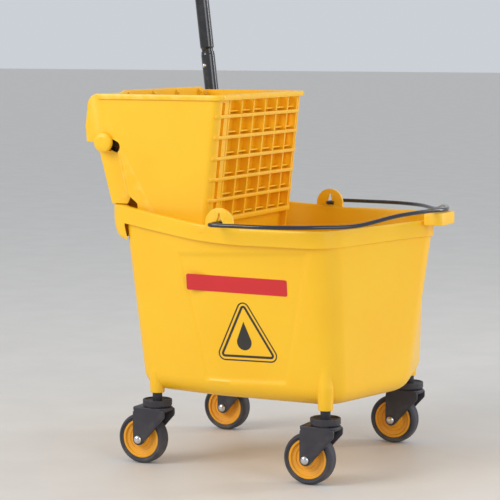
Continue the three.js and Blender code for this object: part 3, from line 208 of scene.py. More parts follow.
# %% A closed profile of (radius, height) points turned about an axis
def lathe(profile, axis="Z", at=(0, 0, 0), sides=48, name="solid"):
    angles = 2 * math.pi * (np.arange(sides) + 0.5) / sides
    verts = []
    for radius, height in profile:
        for angle in angles:
            local = (radius * math.cos(angle), radius * math.sin(angle), height)
            verts.append(np.add(PLACES[axis](*local), at))
    faces = []
    for j in range(len(profile)):
        following = (j + 1) % len(profile)
        if profile[j][0] == 0 and profile[following][0] == 0:
            continue
        for i in range(sides):
            turned = (i + 1) % sides
            here, there = j * sides, following * sides
            faces.append((here + i, here + turned, there + turned, there + i))
    return new_piece(name, verts, faces)


def rod(radius, low, high, axis="Z", at=(0, 0, 0), sides=24):
    """A plain round bar between two limits along an axis, mostly the tool that cuts a bore."""
    return lathe([(0, low), (radius, low), (radius, high), (0, high)], axis, at, sides)


# %% Rings of equal count, joined side by side and closed at both ends
def loft(name, rings, crease=CREASE):
    count = len(rings[0])
    verts = np.concatenate(rings)
    faces = []
    for k in range(len(rings) - 1):
        for i in range(count):
            a = k * count + i
            b = k * count + (i + 1) % count
            faces.append((a, b, b + count, a + count))
    ends = [(0, rings[0]), ((len(rings) - 1) * count, rings[-1])]
    for start, ring in ends:
        middle = len(verts)
        verts = np.vstack([verts, ring.mean(axis=0)])
        faces += [(middle, start + i, start + (i + 1) % count) for i in range(count)]
    return new_piece(name, verts, faces, crease)


# %% [markdown]
# ## Joining solids
#
# A moulding is one piece of plastic, so overlapping solids are united and its holes are cut away. The
# Boolean modifier does both. Its manifold solver is fast and never leaves a gap, as long as each solid is
# closed, and every helper above makes closed solids. The modifier's result is copied to a plain mesh and
# the tools removed.

# %% Boolean helpers
def baked(piece, name):
    graph = bpy.context.evaluated_depsgraph_get()
    mesh = bpy.data.meshes.new_from_object(piece.evaluated_get(graph))
    mesh.name = name
    bpy.data.objects.remove(piece)
    return shown(name, mesh)


def fuse(name, solids, cuts=(), crease=CREASE):
    base = solids[0]
    for operation, tools in (("UNION", solids[1:]), ("DIFFERENCE", cuts)):
        for tool in tools:
            modifier = base.modifiers.new(operation, "BOOLEAN")
            modifier.operation = operation
            modifier.solver = "MANIFOLD"
            modifier.object = tool
    made = baked(base, name)
    for tool in (*solids[1:], *cuts):
        bpy.data.objects.remove(tool)
    made.data.materials.clear()
    shaded(made.data, crease)
    return made


# %% [markdown]
# ## Geometry Nodes for what repeats
#
# Ribs, bars, slots and gussets are each one solid repeated at a fixed step. A Geometry Nodes tree is the
# neat way: a line of points carries copies of the solid, so the count and the step stay two named inputs
# that can be changed at any time. A Python loop would give the same shape, but the rule would be hidden in
# the loop.

# %% The tree "Row of Copies"
def new_group(name, given, put_out, kind="ShaderNodeTree"):
    """A node tree with named sockets, and its input and output nodes."""
    tree = bpy.data.node_groups.new(name, kind)
    for way, sockets in (("INPUT", given), ("OUTPUT", put_out)):
        for socket, socket_kind in sockets:
            tree.interface.new_socket(socket, in_out=way, socket_type=f"NodeSocket{socket_kind}")
    return tree, tree.nodes.new("NodeGroupInput"), tree.nodes.new("NodeGroupOutput")


def join(tree, *links):
    """Each link is a node, its output, the next node and its input."""
    for node, output, following, entry in links:
        tree.links.new(node.outputs[output], following.inputs[entry])


def shape_tree(name, sizes):
    """A modifier's tree: geometry and named sizes go in, and realized geometry with its finish comes out."""
    tree, given, result = new_group(name, [("Geometry", "Geometry"), *sizes, ("Finish", "Material")],
                                    [("Geometry", "Geometry")], "GeometryNodeTree")
    tree.is_modifier = True
    real = tree.nodes.new("GeometryNodeRealizeInstances")
    surface = tree.nodes.new("GeometryNodeSetMaterial")
    join(tree, (real, "Geometry", surface, "Geometry"), (given, "Finish", surface, "Material"),
         (surface, "Geometry", result, "Geometry"))
    return tree, given, real


def row_tree():
    tree, given, real = shape_tree("Row of Copies", [("Count", "Int"), ("Step", "Vector")])
    line = tree.nodes.new("GeometryNodeMeshLine")
    copies = tree.nodes.new("GeometryNodeInstanceOnPoints")
    join(tree, (given, "Count", line, "Count"), (given, "Step", line, "Offset"),
         (line, "Mesh", copies, "Points"), (given, "Geometry", copies, "Instance"),
         (copies, "Instances", real, "Geometry"))
    return tree


ROW_OF_COPIES = row_tree()


def set_input(modifier, name, value):
    for item in modifier.node_group.interface.items_tree:
        if item.item_type == "SOCKET" and item.in_out == "INPUT" and item.name == name:
            modifier[item.identifier] = value


def grown(source, tree, name, crease=CREASE, **inputs):
    """The plain mesh that a Geometry Nodes tree makes of an object."""
    modifier = source.modifiers.new(tree.name, "NODES")
    modifier.node_group = tree
    for socket, value in inputs.items():
        set_input(modifier, socket, value)
    made = baked(source, name)
    shaded(made.data, crease)
    return made


def row(solid, count, step):
    return grown(solid, ROW_OF_COPIES, "row", Count=count, Step=tuple(MM * s for s in step))


row_inputs = [item.name for item in ROW_OF_COPIES.interface.items_tree if item.in_out == "INPUT"]
print("Row of Copies has the inputs", row_inputs)

# %% [markdown]
# ## Finishes
#
# Every finish starts from Object coordinates, which are metres here, so a grain has one real size on every
# piece. Three effects are shared, so each is a node group with named inputs: a moulded skin that mottles
# the colour and lifts a fine grain, worn edges read from the mesh's own convexity, and dust that gathers
# low down. The shaders stay in the materials, and the groups only put out colours, masks and heights.

# %% Node helpers
def linear(red, green, blue):
    """A display colour of 0 to 255 as the linear colour that a shader wants."""
    parts = [c / 255 for c in (red, green, blue)]
    return *(c / 12.92 if c <= 0.04 else ((c + 0.055) / 1.055) ** 2.4 for c in parts), 1


def mixed(tree, factor, first, second):
    mix = tree.nodes.new("ShaderNodeMix")
    mix.data_type = "RGBA"
    tree.links.new(factor, mix.inputs["Factor"])
    tree.links.new(first, mix.inputs["A"])
    tree.links.new(second, mix.inputs["B"])
    return mix.outputs["Result"]


def ranged(tree, value, low, high):
    """A soft step from 0 at low to 1 at high."""
    node = tree.nodes.new("ShaderNodeMapRange")
    node.interpolation_type = "SMOOTHSTEP"
    tree.links.new(value, node.inputs["Value"])
    node.inputs["From Min"].default_value = low
    node.inputs["From Max"].default_value = high
    return node.outputs["Result"]


def maths(tree, operation, first, second):
    node = tree.nodes.new("ShaderNodeMath")
    node.operation = operation
    for socket, value in zip(node.inputs, (first, second)):
        if isinstance(value, (int, float)):
            socket.default_value = value
        else:
            tree.links.new(value, socket)
    return node.outputs["Value"]


def deliver(tree, node, **sockets):
    """Links each socket to the node's input of that name; an underscore stands for a space."""
    for name, socket in sockets.items():
        tree.links.new(socket, node.inputs[name.replace("_", " ")])


def noise(tree, scale, detail=3.0):
    where = tree.nodes.new("ShaderNodeTexCoord")
    node = tree.nodes.new("ShaderNodeTexNoise")
    node.inputs["Detail"].default_value = detail
    tree.links.new(where.outputs["Object"], node.inputs["Vector"])
    if isinstance(scale, (int, float)):
        node.inputs["Scale"].default_value = scale
    else:
        tree.links.new(scale, node.inputs["Scale"])
    return node.outputs["Fac"]


# %% Group: moulded skin
def skin_group():
    tree, given, result = new_group(
        "Moulded Skin",
        [("Color", "Color"), ("Second Color", "Color"), ("Mottle", "Float"), ("Grain Scale", "Float"),
         ("Roughness", "Float"), ("Roughness Spread", "Float")],
        [("Color", "Color"), ("Roughness", "Float"), ("Height", "Float")])
    clouds = ranged(tree, noise(tree, 9.0), 0.3, 0.7)
    streaks = noise(tree, 55.0, 6.0)
    amount = maths(tree, "MULTIPLY", maths(tree, "ADD", clouds, maths(tree, "MULTIPLY", streaks, 0.35)),
                   given.outputs["Mottle"])
    uneven = maths(tree, "SUBTRACT", noise(tree, 24.0, 5.0), 0.5)
    spread = maths(tree, "MULTIPLY", uneven, given.outputs["Roughness Spread"])
    deliver(tree, result, Color=mixed(tree, amount, given.outputs["Color"], given.outputs["Second Color"]),
            Roughness=maths(tree, "ADD", given.outputs["Roughness"], spread),
            Height=noise(tree, given.outputs["Grain Scale"], 2.0))
    return tree


# %% Group: worn edges
def wear_group():
    tree, given, result = new_group(
        "Worn Edges",
        [("Color", "Color"), ("Worn Color", "Color"), ("Amount", "Float")],
        [("Color", "Color"), ("Mask", "Float")])
    shape = tree.nodes.new("ShaderNodeNewGeometry")
    convex = ranged(tree, shape.outputs["Pointiness"], 0.515, 0.6)
    patchy = ranged(tree, noise(tree, 70.0, 6.0), 0.38, 0.66)
    mask = maths(tree, "MULTIPLY", maths(tree, "MULTIPLY", convex, patchy), given.outputs["Amount"])
    color = mixed(tree, mask, given.outputs["Color"], given.outputs["Worn Color"])
    deliver(tree, result, Color=color, Mask=mask)
    return tree


# %% Group: dust that gathers low down
def dust_group():
    tree, given, result = new_group(
        "Low Dust",
        [("Color", "Color"), ("Dust Color", "Color"), ("Top", "Float"), ("Amount", "Float")],
        [("Color", "Color"), ("Mask", "Float")])
    where = tree.nodes.new("ShaderNodeTexCoord")
    parts = tree.nodes.new("ShaderNodeSeparateXYZ")
    tree.links.new(where.outputs["Object"], parts.inputs["Vector"])
    height = maths(tree, "DIVIDE", parts.outputs["Z"], given.outputs["Top"])
    low = ranged(tree, height, 1.0, 0.0)
    patchy = ranged(tree, noise(tree, 38.0, 7.0), 0.35, 0.75)
    mask = maths(tree, "MULTIPLY", maths(tree, "MULTIPLY", low, patchy), given.outputs["Amount"])
    color = mixed(tree, mask, given.outputs["Color"], given.outputs["Dust Color"])
    deliver(tree, result, Color=color, Mask=mask)
    return tree


MOULDED_SKIN = skin_group()
WORN_EDGES = wear_group()
LOW_DUST = dust_group()


def place(tree, group, **values):
    """The group as a node; a value's underscores stand for the spaces in its socket's name."""
    node = tree.nodes.new("ShaderNodeGroup")
    node.node_tree = group
    for name, value in values.items():
        socket = node.inputs[name.replace("_", " ")]
        if isinstance(value, bpy.types.NodeSocket):
            tree.links.new(value, socket)
        else:
            socket.default_value = value
    return node.outputs


# %% [markdown]
# ## From skin, wear and dust to a material
#
# One short function chains the three groups into a Principled shader. What differs between finishes is only
# their values: a moulded plastic has a soft orange-peel grain, a gloss enamel has almost none, and rubber
# is rough and takes the most dust. Plain constants such as metalness are set on the shader's own sockets.

# %% Material builder
DUST = linear(150, 140, 125)
BUMP_DEPTH = 0.0004


def finish(name, color, second, roughness, grain=(900.0, 0.05), mottle=0.5, spread=0.15, metallic=0.0,
           wear=(None, 0.0), dust=(0.08, 0.0), coat=0.0, subsurface=0.0):
    """A material; grain is (scale, strength), wear is (color, amount) and dust is (top in metres, amount)."""
    material = bpy.data.materials.new(name)
    material.use_nodes = True
    tree = material.node_tree
    shader = tree.nodes["Principled BSDF"]
    skin = place(tree, MOULDED_SKIN, Color=linear(*color), Second_Color=linear(*second), Mottle=mottle,
                 Grain_Scale=grain[0], Roughness=roughness, Roughness_Spread=spread)
    worn_color = linear(*(wear[0] or color))
    worn = place(tree, WORN_EDGES, Color=skin["Color"], Worn_Color=worn_color, Amount=wear[1])
    dusty = place(tree, LOW_DUST, Color=worn["Color"], Dust_Color=DUST, Top=dust[0], Amount=dust[1])
    bump = tree.nodes.new("ShaderNodeBump")
    bump.inputs["Strength"].default_value = grain[1]
    bump.inputs["Distance"].default_value = BUMP_DEPTH
    rough = maths(tree, "ADD", skin["Roughness"], maths(tree, "MULTIPLY", dusty["Mask"], 0.4))
    tree.links.new(skin["Height"], bump.inputs["Height"])
    deliver(tree, shader, Normal=bump.outputs["Normal"], Base_Color=dusty["Color"], Roughness=rough)
    plain = {"Metallic": metallic, "Coat Weight": coat, "Coat Roughness": 0.08,
             "Subsurface Weight": subsurface, "Subsurface Radius": (0.012, 0.005, 0.001)}
    for socket, value in plain.items():
        shader.inputs[socket].default_value = value
    return material


# %% The object's own finishes
YELLOW = finish("yellow_moulding", (255, 200, 32), (252, 188, 16), 0.36, grain=(700.0, 0.12), mottle=0.45,
                wear=((255, 226, 120), 0.45), dust=(0.2, 0.05), subsurface=0.12)
HUB_YELLOW = finish("wheel_hub", (243, 172, 30), (230, 150, 14), 0.42, grain=(900.0, 0.12),
                    wear=((250, 200, 90), 0.4), dust=(0.08, 0.18))
BLACK_PLASTIC = finish("black_plastic", (48, 46, 54), (38, 36, 43), 0.5, grain=(2200.0, 0.35),
                       wear=((92, 90, 98), 0.5), dust=(0.11, 0.16))
TYRE_RUBBER = finish("tyre", (58, 57, 66), (46, 45, 53), 0.62, grain=(1500.0, 0.3), spread=0.25,
                     wear=((96, 95, 100), 0.3), dust=(0.05, 0.35))
CHROME = finish("chrome", (215, 216, 220), (190, 192, 198), 0.14, grain=(300.0, 0.03), metallic=1.0,
                spread=0.1)
BLACK_STEEL = finish("black_steel", (20, 20, 25), (28, 28, 34), 0.2, grain=(260.0, 0.06), spread=0.12,
                     wear=((90, 88, 86), 0.5), coat=0.6)
BLACK_WIRE = finish("black_wire", (26, 28, 44), (18, 19, 30), 0.24, grain=(420.0, 0.1), spread=0.15,
                    wear=((70, 72, 84), 0.4), coat=0.5)
ZINC = finish("zinc", (176, 177, 176), (150, 152, 154), 0.34, grain=(1200.0, 0.15), metallic=1.0, spread=0.25)
GRIP_RUBBER = finish("grip_rubber", (30, 30, 33), (22, 22, 24), 0.75, grain=(1800.0, 0.45), spread=0.2,
                     wear=((58, 58, 60), 0.5))
SIGN_RED = finish("sign_red", (214, 40, 44), (198, 34, 38), 0.4, grain=(900.0, 0.08), mottle=0.6)
SIGN_BLACK = finish("sign_black", (40, 38, 36), (52, 48, 42), 0.42, grain=(900.0, 0.08), mottle=0.6)
print("finishes:", sorted(m.name for m in bpy.data.materials if m.users or m.use_nodes))


# %% Riding, slots and finishes in one place
def settle(piece, material, body, *stands_for):
    """The last step for every piece: its finish, its body and the CAD nodes it stands for."""
    piece.data.materials.clear()
    piece.data.materials.append(material)
    for polygon in piece.data.polygons:
        polygon.material_index = 0
    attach(piece, body)
    if stands_for:
        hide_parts(*stands_for)
    print(f"{piece.name}: {len(piece.data.polygons)} faces on {body}")


# %% [markdown]
# ## The bucket's wall
#
# Seen from above, the bucket is a seven-cornered outline: a blunt nose, two wide shoulders, two waists and
# a narrow rear. The same outline, slimmer, is its floor. It could be modelled as a box with subdivision,
# but the outline has real radii, so a loft between the two plans is truer: each ring is worked out from the
# corner radii at its height, and the rings are joined. Extra rings round the foot, and others shape the
# stiffening band under the rim, which turns into a deep hollow ledge at the back to carry the wringer.

# %% Plans of the bucket at its rim and its floor, half from nose to rear: x, y, radius
RIM_PLAN = ((242, 0, 30), (153, 193, 55), (-40, 193, 120), (-197, 137, 30))
FLOOR_PLAN = ((204, 0, 60), (162, 166, 35), (-33, 166, 120), (-161, 146, 30))
WALL = 3.0
FLOOR_THICKNESS = 3.5
BOTTOM_Z = 112.0
RIM_Z = 363.0
FOOT_RADIUS = 26.0
BAND_DEPTH = 24.0
BAND_OUT = 4.0
BAND_END_OUT = 0.8
LEDGE_OUT = 24.0
LEDGE_DEPTH = 50.0
LEDGE_X = RIM_PLAN[3][0] - LEDGE_OUT
LEDGE_PROFILE = ((0, 0.02, 0.07, 0.15, 0.25, 0.4, 0.6, 1), (0.3, 0.44, 0.6, 0.74, 0.85, 0.94, 1, 1))
REAR_RISE = 22.0
RISE_START_X = 27.0
NOSE_RISE = 5.0
ARC_STEPS = (18, 16, 8, 12, 12, 8, 16)
EDGE_STEPS = (24, 76, 60, 40, 60, 76, 24)
REAR_EDGE = 3


def smooth(low, high, value):
    t = np.clip((value - low) / (high - low), 0, 1)
    return t * t * (3 - 2 * t)


def plan_at(z):
    share = (z - BOTTOM_Z) / (RIM_Z - BOTTOM_Z)
    half = [tuple(f + (r - f) * share for f, r in zip(low, high)) for low, high in zip(FLOOR_PLAN, RIM_PLAN)]
    return half + [(x, -y, radius) for x, y, radius in reversed(half[1:])]


def ring(z, inset=0.0, ledge=None):
    """The plan's outline at a height as an array of (x, y), moved in by inset, and at the rear by ledge."""
    plan = plan_at(z)
    count = len(plan)
    normals, offsets = [], []
    for i, (x, y, _) in enumerate(plan):
        next_x, next_y, _ = plan[(i + 1) % count]
        normal = Vector((next_y - y, x - next_x)).normalized()
        normals.append(normal)
        offsets.append(normal.dot((x, y)) - (ledge if ledge is not None and i == REAR_EDGE else inset))
    arcs = []
    for i in range(count):
        a, b = normals[i - 1], normals[i]
        sine = a.x * b.y - a.y * b.x
        before, after = offsets[i - 1], offsets[i]
        corner = Vector(((before * b.y - after * a.y) / sine, (a.x * after - b.x * before) / sine))
        radius = max(plan[i][2] - min(inset, WALL), 3.0)
        centre = corner - (a + b) * radius / (1 + a.dot(b))
        turn = math.atan2(sine, a.dot(b))
        start = math.atan2(a.y, a.x)
        angles = start + turn * np.linspace(0, 1, ARC_STEPS[i] + 1)
        arcs.append(np.column_stack([centre.x + radius * np.cos(angles), centre.y + radius * np.sin(angles)]))
    points = []
    for i in range(count):
        share = np.arange(1, EDGE_STEPS[i])[:, None] / EDGE_STEPS[i]
        points += [arcs[i], arcs[i][-1] + (arcs[(i + 1) % count][0] - arcs[i][-1]) * share]
    return np.vstack(points)


def rim_height(x):
    back = np.clip((RISE_START_X - x) / (RISE_START_X - LEDGE_X), 0, 1)
    return RIM_Z + REAR_RISE * back ** 1.35 + NOSE_RISE * smooth(RIM_PLAN[1][0], RIM_PLAN[0][0], x)


print("points in a ring:", len(ring(RIM_Z)))

# %% [markdown]
# ### The recessed side panel
#
# Each side has a wide panel set in by a couple of millimetres, with a soft bevel all round. It could be
# inset with edge loops, but its sides lean, so loops would have to be slid along the wall. Here the wall is
# a fine grid already, so the points inside the panel's four leaning edges are simply moved in, and a smooth
# step across each edge makes the bevel. The inner skin moves too, because a moulded wall keeps its
# thickness.

# %% Depth of the recess at any point of the wall
PANEL_DEPTH = 2.4
PANEL_BEVEL = 5.0
PANEL_LEFT = ((135.0, 206.0, 322.0), (-44.0, -58.0, -87.0))
PANEL_RIGHT = ((141.0, 334.0), (88.0, 128.0))
PANEL_BOTTOM = ((-44.0, 88.0), (135.0, 141.0))
PANEL_TOP = ((-87.0, 128.0), (322.0, 334.0))


def panel_depth(x, y, z):
    left = smooth(0, PANEL_BEVEL, x - np.interp(z, *PANEL_LEFT))
    right = smooth(0, PANEL_BEVEL, np.interp(z, *PANEL_RIGHT) - x)
    bottom = smooth(0, PANEL_BEVEL, z - np.interp(x, *PANEL_BOTTOM))
    top = smooth(0, PANEL_BEVEL, np.interp(x, *PANEL_TOP) - z)
    return PANEL_DEPTH * left * right * bottom * top * (np.abs(y) > 120)


# %% Rings from the foot, up the outside, over the rim and down the inside
def foot_rings(floor_z, inset, radius, steps=8):
    rings = []
    for angle in np.linspace(0, math.pi / 2, steps + 1):
        z = floor_z + radius * (1 - math.cos(angle))
        plan = ring(z, inset + radius * (1 - math.sin(angle)))
        rings.append(np.column_stack([plan, np.full(len(plan), z)]))
    return rings


def wall_rings(foot, head_plan, head_z, steps):
    """Rings between a foot ring and a head line, in one leaning sheet, with the panel pressed in."""
    rings = []
    normals = outward(head_plan)
    for share in np.linspace(0, 1, steps + 1)[1:]:
        z = foot[:, 2] + (head_z - foot[:, 2]) * share
        up = (z - foot[:, 2]) / (RIM_Z - foot[:, 2])
        plan = foot[:, :2] + (head_plan - foot[:, :2]) * up[:, None]
        plan = plan - normals * panel_depth(plan[:, 0], plan[:, 1], z)[:, None]
        rings.append(np.column_stack([plan, z]))
    return rings


def outward(plan):
    along = np.roll(plan, -1, axis=0) - np.roll(plan, 1, axis=0)
    normal = np.column_stack([along[:, 1], -along[:, 0]])
    return normal / np.linalg.norm(normal, axis=1)[:, None]


def rim_rings():
    """The band under the rim and the hollow ledge at the rear, from the wall out and over to the inside."""
    wall = ring(RIM_Z)
    full = ring(RIM_Z, -BAND_OUT, -LEDGE_OUT)
    slim = ring(RIM_Z, -BAND_END_OUT, -BAND_END_OUT)
    fade = smooth(RIM_PLAN[1][0] - 5, RIM_PLAN[0][0] - 45, full[:, 0])[:, None]
    band = full + (slim - full) * fade
    reach = np.linalg.norm(band - wall, axis=1)
    out = (band - wall) / reach[:, None]
    top = rim_height(band[:, 0])
    rear = smooth(RIM_PLAN[3][0] + 6, RIM_PLAN[3][0] - 8, band[:, 0])
    low = top - BAND_DEPTH - (LEDGE_DEPTH - BAND_DEPTH) * rear
    height = top - low
    hollow = smooth(9, 15, reach)
    swell = lambda up: reach * (1 - (1 - np.interp(up, *LEDGE_PROFILE)) * rear)
    pocket = lambda up: np.maximum(swell(up) - WALL, 0.0) * hollow
    steps = [(0.4 * hollow, low + (height - WALL) * hollow), (pocket(0.6), low + (height - WALL) * hollow)]
    steps += [(pocket(up), low + height * up * hollow) for up in (0.6, 0.4, 0.25, 0.15, 0.07)]
    steps += [(pocket(0.0), low), (swell(0.0) - 1.2, low), (swell(0.0) - 0.35, low + 0.35)]
    steps += [(swell(up), low + np.maximum(height * up, 1.2)) for up in (0.03, 0.07, 0.15, 0.25, 0.4, 0.6)]
    steps += [(reach, top - 3.0), (reach - 0.25, top - 1.6), (reach - 1.0, top - 0.5), (reach - 2.4, top)]
    rings = [np.column_stack([wall + out * o[:, None], z]) for o, z in steps]
    inner = ring(RIM_Z, WALL)
    for share, down in ((0.55, 0.0), (0.85, 0.25), (1.0, 1.1)):
        start = wall + out * (reach - 2.4)[:, None]
        rings.append(np.column_stack([start + (inner - start) * share, top - down]))
    return wall, low, rings, inner, top


def bucket_shell():
    outer_foot = foot_rings(BOTTOM_Z, 0.0, FOOT_RADIUS)
    wall, low, rim, inner, top = rim_rings()
    outer = wall_rings(outer_foot[-1], wall, low, 68)
    inner_foot = foot_rings(BOTTOM_Z + FLOOR_THICKNESS, WALL, FOOT_RADIUS - FLOOR_THICKNESS)
    inside = wall_rings(inner_foot[-1], inner, top - 1.1, 60)[:-1]
    rings = [*outer_foot, *outer, *rim, *reversed(inside), *reversed(inner_foot)]
    return loft("bucket_shell", rings, crease=50)


# %% [markdown]
# ### Lugs, tab and caster bosses
#
# The handle hooks through a keyhole in a half-round lug on each side. A short box-shaped tab in front gives
# a grip for tipping, and a boss under each corner holds a caster's post. Each is a small rounded solid that
# is united with the shell, and each keyhole and post socket is cut from the union.

# %% The bucket as one moulding
LUG_X = -6.0
LUG_RADIUS = 22.0
LUG_TOP = RIM_Z + 28.0
HANDLE_Z = RIM_Z + 7.0
LUG_OUTER = RIM_PLAN[1][1] + BAND_OUT
LUG_INNER = LUG_OUTER - 4.5
TAB_TOP = RIM_Z + 17
STEMS = {"front_left": (144.0, 162.0), "front_right": (144.0, -162.0),
         "rear_left": (-138.0, 139.0), "rear_right": (-138.0, -139.0)}
BOSS_Z = 108.0
BOSS_RADIUS = 10.6
STEM_RADIUS = 7.2
STEM_TOP = 140.0
CLEARANCE = 0.3


def lug(side):
    centre = LUG_TOP - LUG_RADIUS
    arc = arc_points(LUG_X, centre, LUG_RADIUS, 0, math.pi, 25)
    foot = LUG_RADIUS + 9
    outline = rounded([(LUG_X - foot, RIM_Z - 8), (LUG_X + foot, RIM_Z - 8), (LUG_X + foot, RIM_Z - 0.6),
                       (LUG_X + LUG_RADIUS, RIM_Z - 0.3, 9.0)])
    outline += arc
    outline += rounded([arc[-1], (LUG_X - LUG_RADIUS, RIM_Z + 0.7, 9.0), (LUG_X - foot, RIM_Z + 0.4)],
                       closed=False)[1:]
    return prism(outline, *span(side, LUG_INNER + 0.05, LUG_OUTER - 0.05), "Y", edge=1.1)


def keyhole(side):
    half = [(1.5, 13.5, 1.0), (2.4, 6.5, 3.0), (6.0, -0.5, 2.0), (5.4, -4.2, 2.0)]
    outline = [(LUG_X + x, HANDLE_Z + z, r) for x, z, r in half]
    outline += [(LUG_X - x, HANDLE_Z + z, r) for x, z, r in reversed(half)]
    return prism(rounded(outline), *span(side, LUG_INNER - 6, LUG_OUTER + 4), "Y")


def boss(x, y):
    profile = rounded([(0, BOSS_Z), (BOSS_RADIUS, BOSS_Z, 1.0), (BOSS_RADIUS + 1.2, STEM_TOP, 8.0),
                       (BOSS_RADIUS / 2, 188, 5.0), (0, 188)])
    return lathe(profile, "Z", (x, y, 0), 40)


def post_socket(x, y):
    return rod(STEM_RADIUS + CLEARANCE, BOSS_Z - 5, STEM_TOP + CLEARANCE, "Z", (x, y, 0), 40)


def make_bucket():
    tab = box((236, 264.9), (-26, 26), (TAB_TOP - 18, TAB_TOP - 0.05), edge=1.2, corner=2.5)
    under_tab = box((245.2, 262), (-23, 23), (TAB_TOP - 30, TAB_TOP - 3), corner=1.5)
    solids = [bucket_shell(), lug(1), lug(-1), tab, *[boss(*at) for at in STEMS.values()]]
    cuts = [keyhole(1), keyhole(-1), under_tab, *[post_socket(*at) for at in STEMS.values()]]
    settle(fuse("bucket", solids, cuts, crease=44), YELLOW, "bucket", "bucket_body")


make_bucket()

# %% [markdown]
# ## The sign on the side
#
# The near side carries a printed warning. A plain bar and a double-outlined triangle with a water drop say
# the same without words. They could be painted by a material mask, but separate thin pieces keep a clean
# edge and their own finish. Each is a small grid that is pressed onto the wall, with its depth read off the
# bucket's own rings, so it follows the lean of the wall.

# %% How far out the near wall stands, and skins that follow it
def near_wall(x, z):
    """The y of the outer wall on the near side at x and z, with the recessed panel taken into account."""
    share = (z - BOTTOM_Z - FOOT_RADIUS) / (RIM_Z - BOTTOM_Z - FOOT_RADIUS)
    foot = FLOOR_PLAN[1][1] + (RIM_PLAN[1][1] - FLOOR_PLAN[1][1]) * FOOT_RADIUS / (RIM_Z - BOTTOM_Z)
    y = foot + (RIM_PLAN[1][1] - foot) * share
    return -(y - panel_depth(np.asarray(x), np.full(np.shape(x), 150.0), np.asarray(z)))


def decal(name, outline, holes=(), thickness=0.3, sunk=0.4, spacing=4.0):
    """A thin sheet with the given outline in x and z that lies on the near wall."""
    curve = bpy.data.curves.new(name, "CURVE")
    curve.dimensions = "2D"
    curve.fill_mode = "BOTH"
    for loop in (outline, *holes):
        spline = curve.splines.new("POLY")
        spline.points.add(len(loop) - 1)
        for point, (x, z) in zip(spline.points, loop):
            point.co = (x, z, 0, 1)
        spline.use_cyclic_u = True
    flat = bpy.data.objects.new(name, curve)
    graph = bpy.context.evaluated_depsgraph_get()
    mesh = bpy.data.meshes.new_from_object(flat.evaluated_get(graph))
    bpy.data.objects.remove(flat)
    low, high = np.min(outline, axis=0), np.max(outline, axis=0)
    with editing(mesh) as work:
        for k, normal in enumerate((Vector((1, 0, 0)), Vector((0, 1, 0)))):
            for cut in np.arange(low[k] + spacing / 2, high[k], spacing):
                bmesh.ops.bisect_plane(work, geom=[*work.verts, *work.edges, *work.faces],
                                       plane_co=normal * cut, plane_no=normal)
        bmesh.ops.triangulate(work, faces=work.faces)
        raised = bmesh.ops.extrude_face_region(work, geom=work.faces[:])
        outer = {v for v in raised["geom"] if isinstance(v, bmesh.types.BMVert)}
        for vert in work.verts:
            x, z = vert.co.x, vert.co.y
            y = float(near_wall(x, z)) + (-thickness if vert in outer else sunk)
            vert.co = Vector((x, y, z)) * MM
        bmesh.ops.recalc_face_normals(work, faces=work.faces)
    mesh.materials.clear()
    shaded(mesh)
    return shown(name, mesh)


# %% The bar, the triangle and the drop
SIGN_X = 22.0
TRIANGLE = ((21.5, 267.0), (-26.0, 169.5), (80.5, 171.5))


def triangle(shrink):
    """The rounded triangle with its sides moved in by shrink."""
    corners = [Vector(p) for p in TRIANGLE]
    middle = sum(corners, Vector((0, 0))) / 3
    inner = min((middle - a).cross((b - a).normalized()) for a, b in zip(corners, corners[1:] + corners[:1]))
    scale = 1 - shrink / abs(inner)
    points = [middle + (c - middle) * scale for c in corners]
    return rounded([(*p, max(10.0 - shrink, 1.5)) for p in points], steps=8)


def drop():
    tip, centre, radius = 228.0, 198.0, 11.5
    tangent = math.acos(radius / (tip - centre))
    start = math.pi / 2 - tangent
    arc = arc_points(SIGN_X, centre, radius, start, start - (2 * math.pi - 2 * tangent), 28)
    return [(SIGN_X, tip), *arc]


def make_sign():
    bar = rounded([(-66, 270, 3), (93, 268.5, 3), (93, 292, 3), (-66, 293.5, 3)])
    inks = ((decal("sign_bar", bar), SIGN_RED),
            (decal("sign_outer_line", triangle(0), [triangle(1.9)]), SIGN_BLACK),
            (decal("sign_inner_line", triangle(5.2), [triangle(8.6)]), SIGN_BLACK),
            (decal("sign_drop", drop()), SIGN_BLACK))
    for ink, material in inks:
        settle(ink, material, "bucket")


make_sign()

# %% [markdown]
# ## The wire handle
#
# The handle is one bent wire. Its path comes from a few bend points, and a Geometry Nodes tree runs a
# smooth curve through them, sweeps a circle along it and closes its ends. The same could be done with a
# curve object's own bevel, but as a node tree the wire's gauge and the spacing of its rings are named
# inputs of one rule.

# %% The tree "Bent Wire"
def wire_tree():
    tree, given, real = shape_tree("Bent Wire", [("Gauge", "Float"), ("Spacing", "Float")])
    path = tree.nodes.new("GeometryNodeMeshToCurve")
    bends = tree.nodes.new("GeometryNodeCurveSplineType")
    bends.spline_type = "CATMULL_ROM"
    even = tree.nodes.new("GeometryNodeResampleCurve")
    even.mode = "LENGTH"
    circle = tree.nodes.new("GeometryNodeCurvePrimitiveCircle")
    circle.inputs["Resolution"].default_value = 18
    sweep = tree.nodes.new("GeometryNodeCurveToMesh")
    sweep.inputs["Fill Caps"].default_value = True
    join(tree, (given, "Geometry", path, "Mesh"), (path, "Curve", bends, "Curve"),
         (bends, "Curve", even, "Curve"), (given, "Spacing", even, "Length"),
         (given, "Gauge", circle, "Radius"), (even, "Curve", sweep, "Curve"),
         (circle, "Curve", sweep, "Profile Curve"), (sweep, "Mesh", real, "Geometry"))
    return tree


BENT_WIRE = wire_tree()

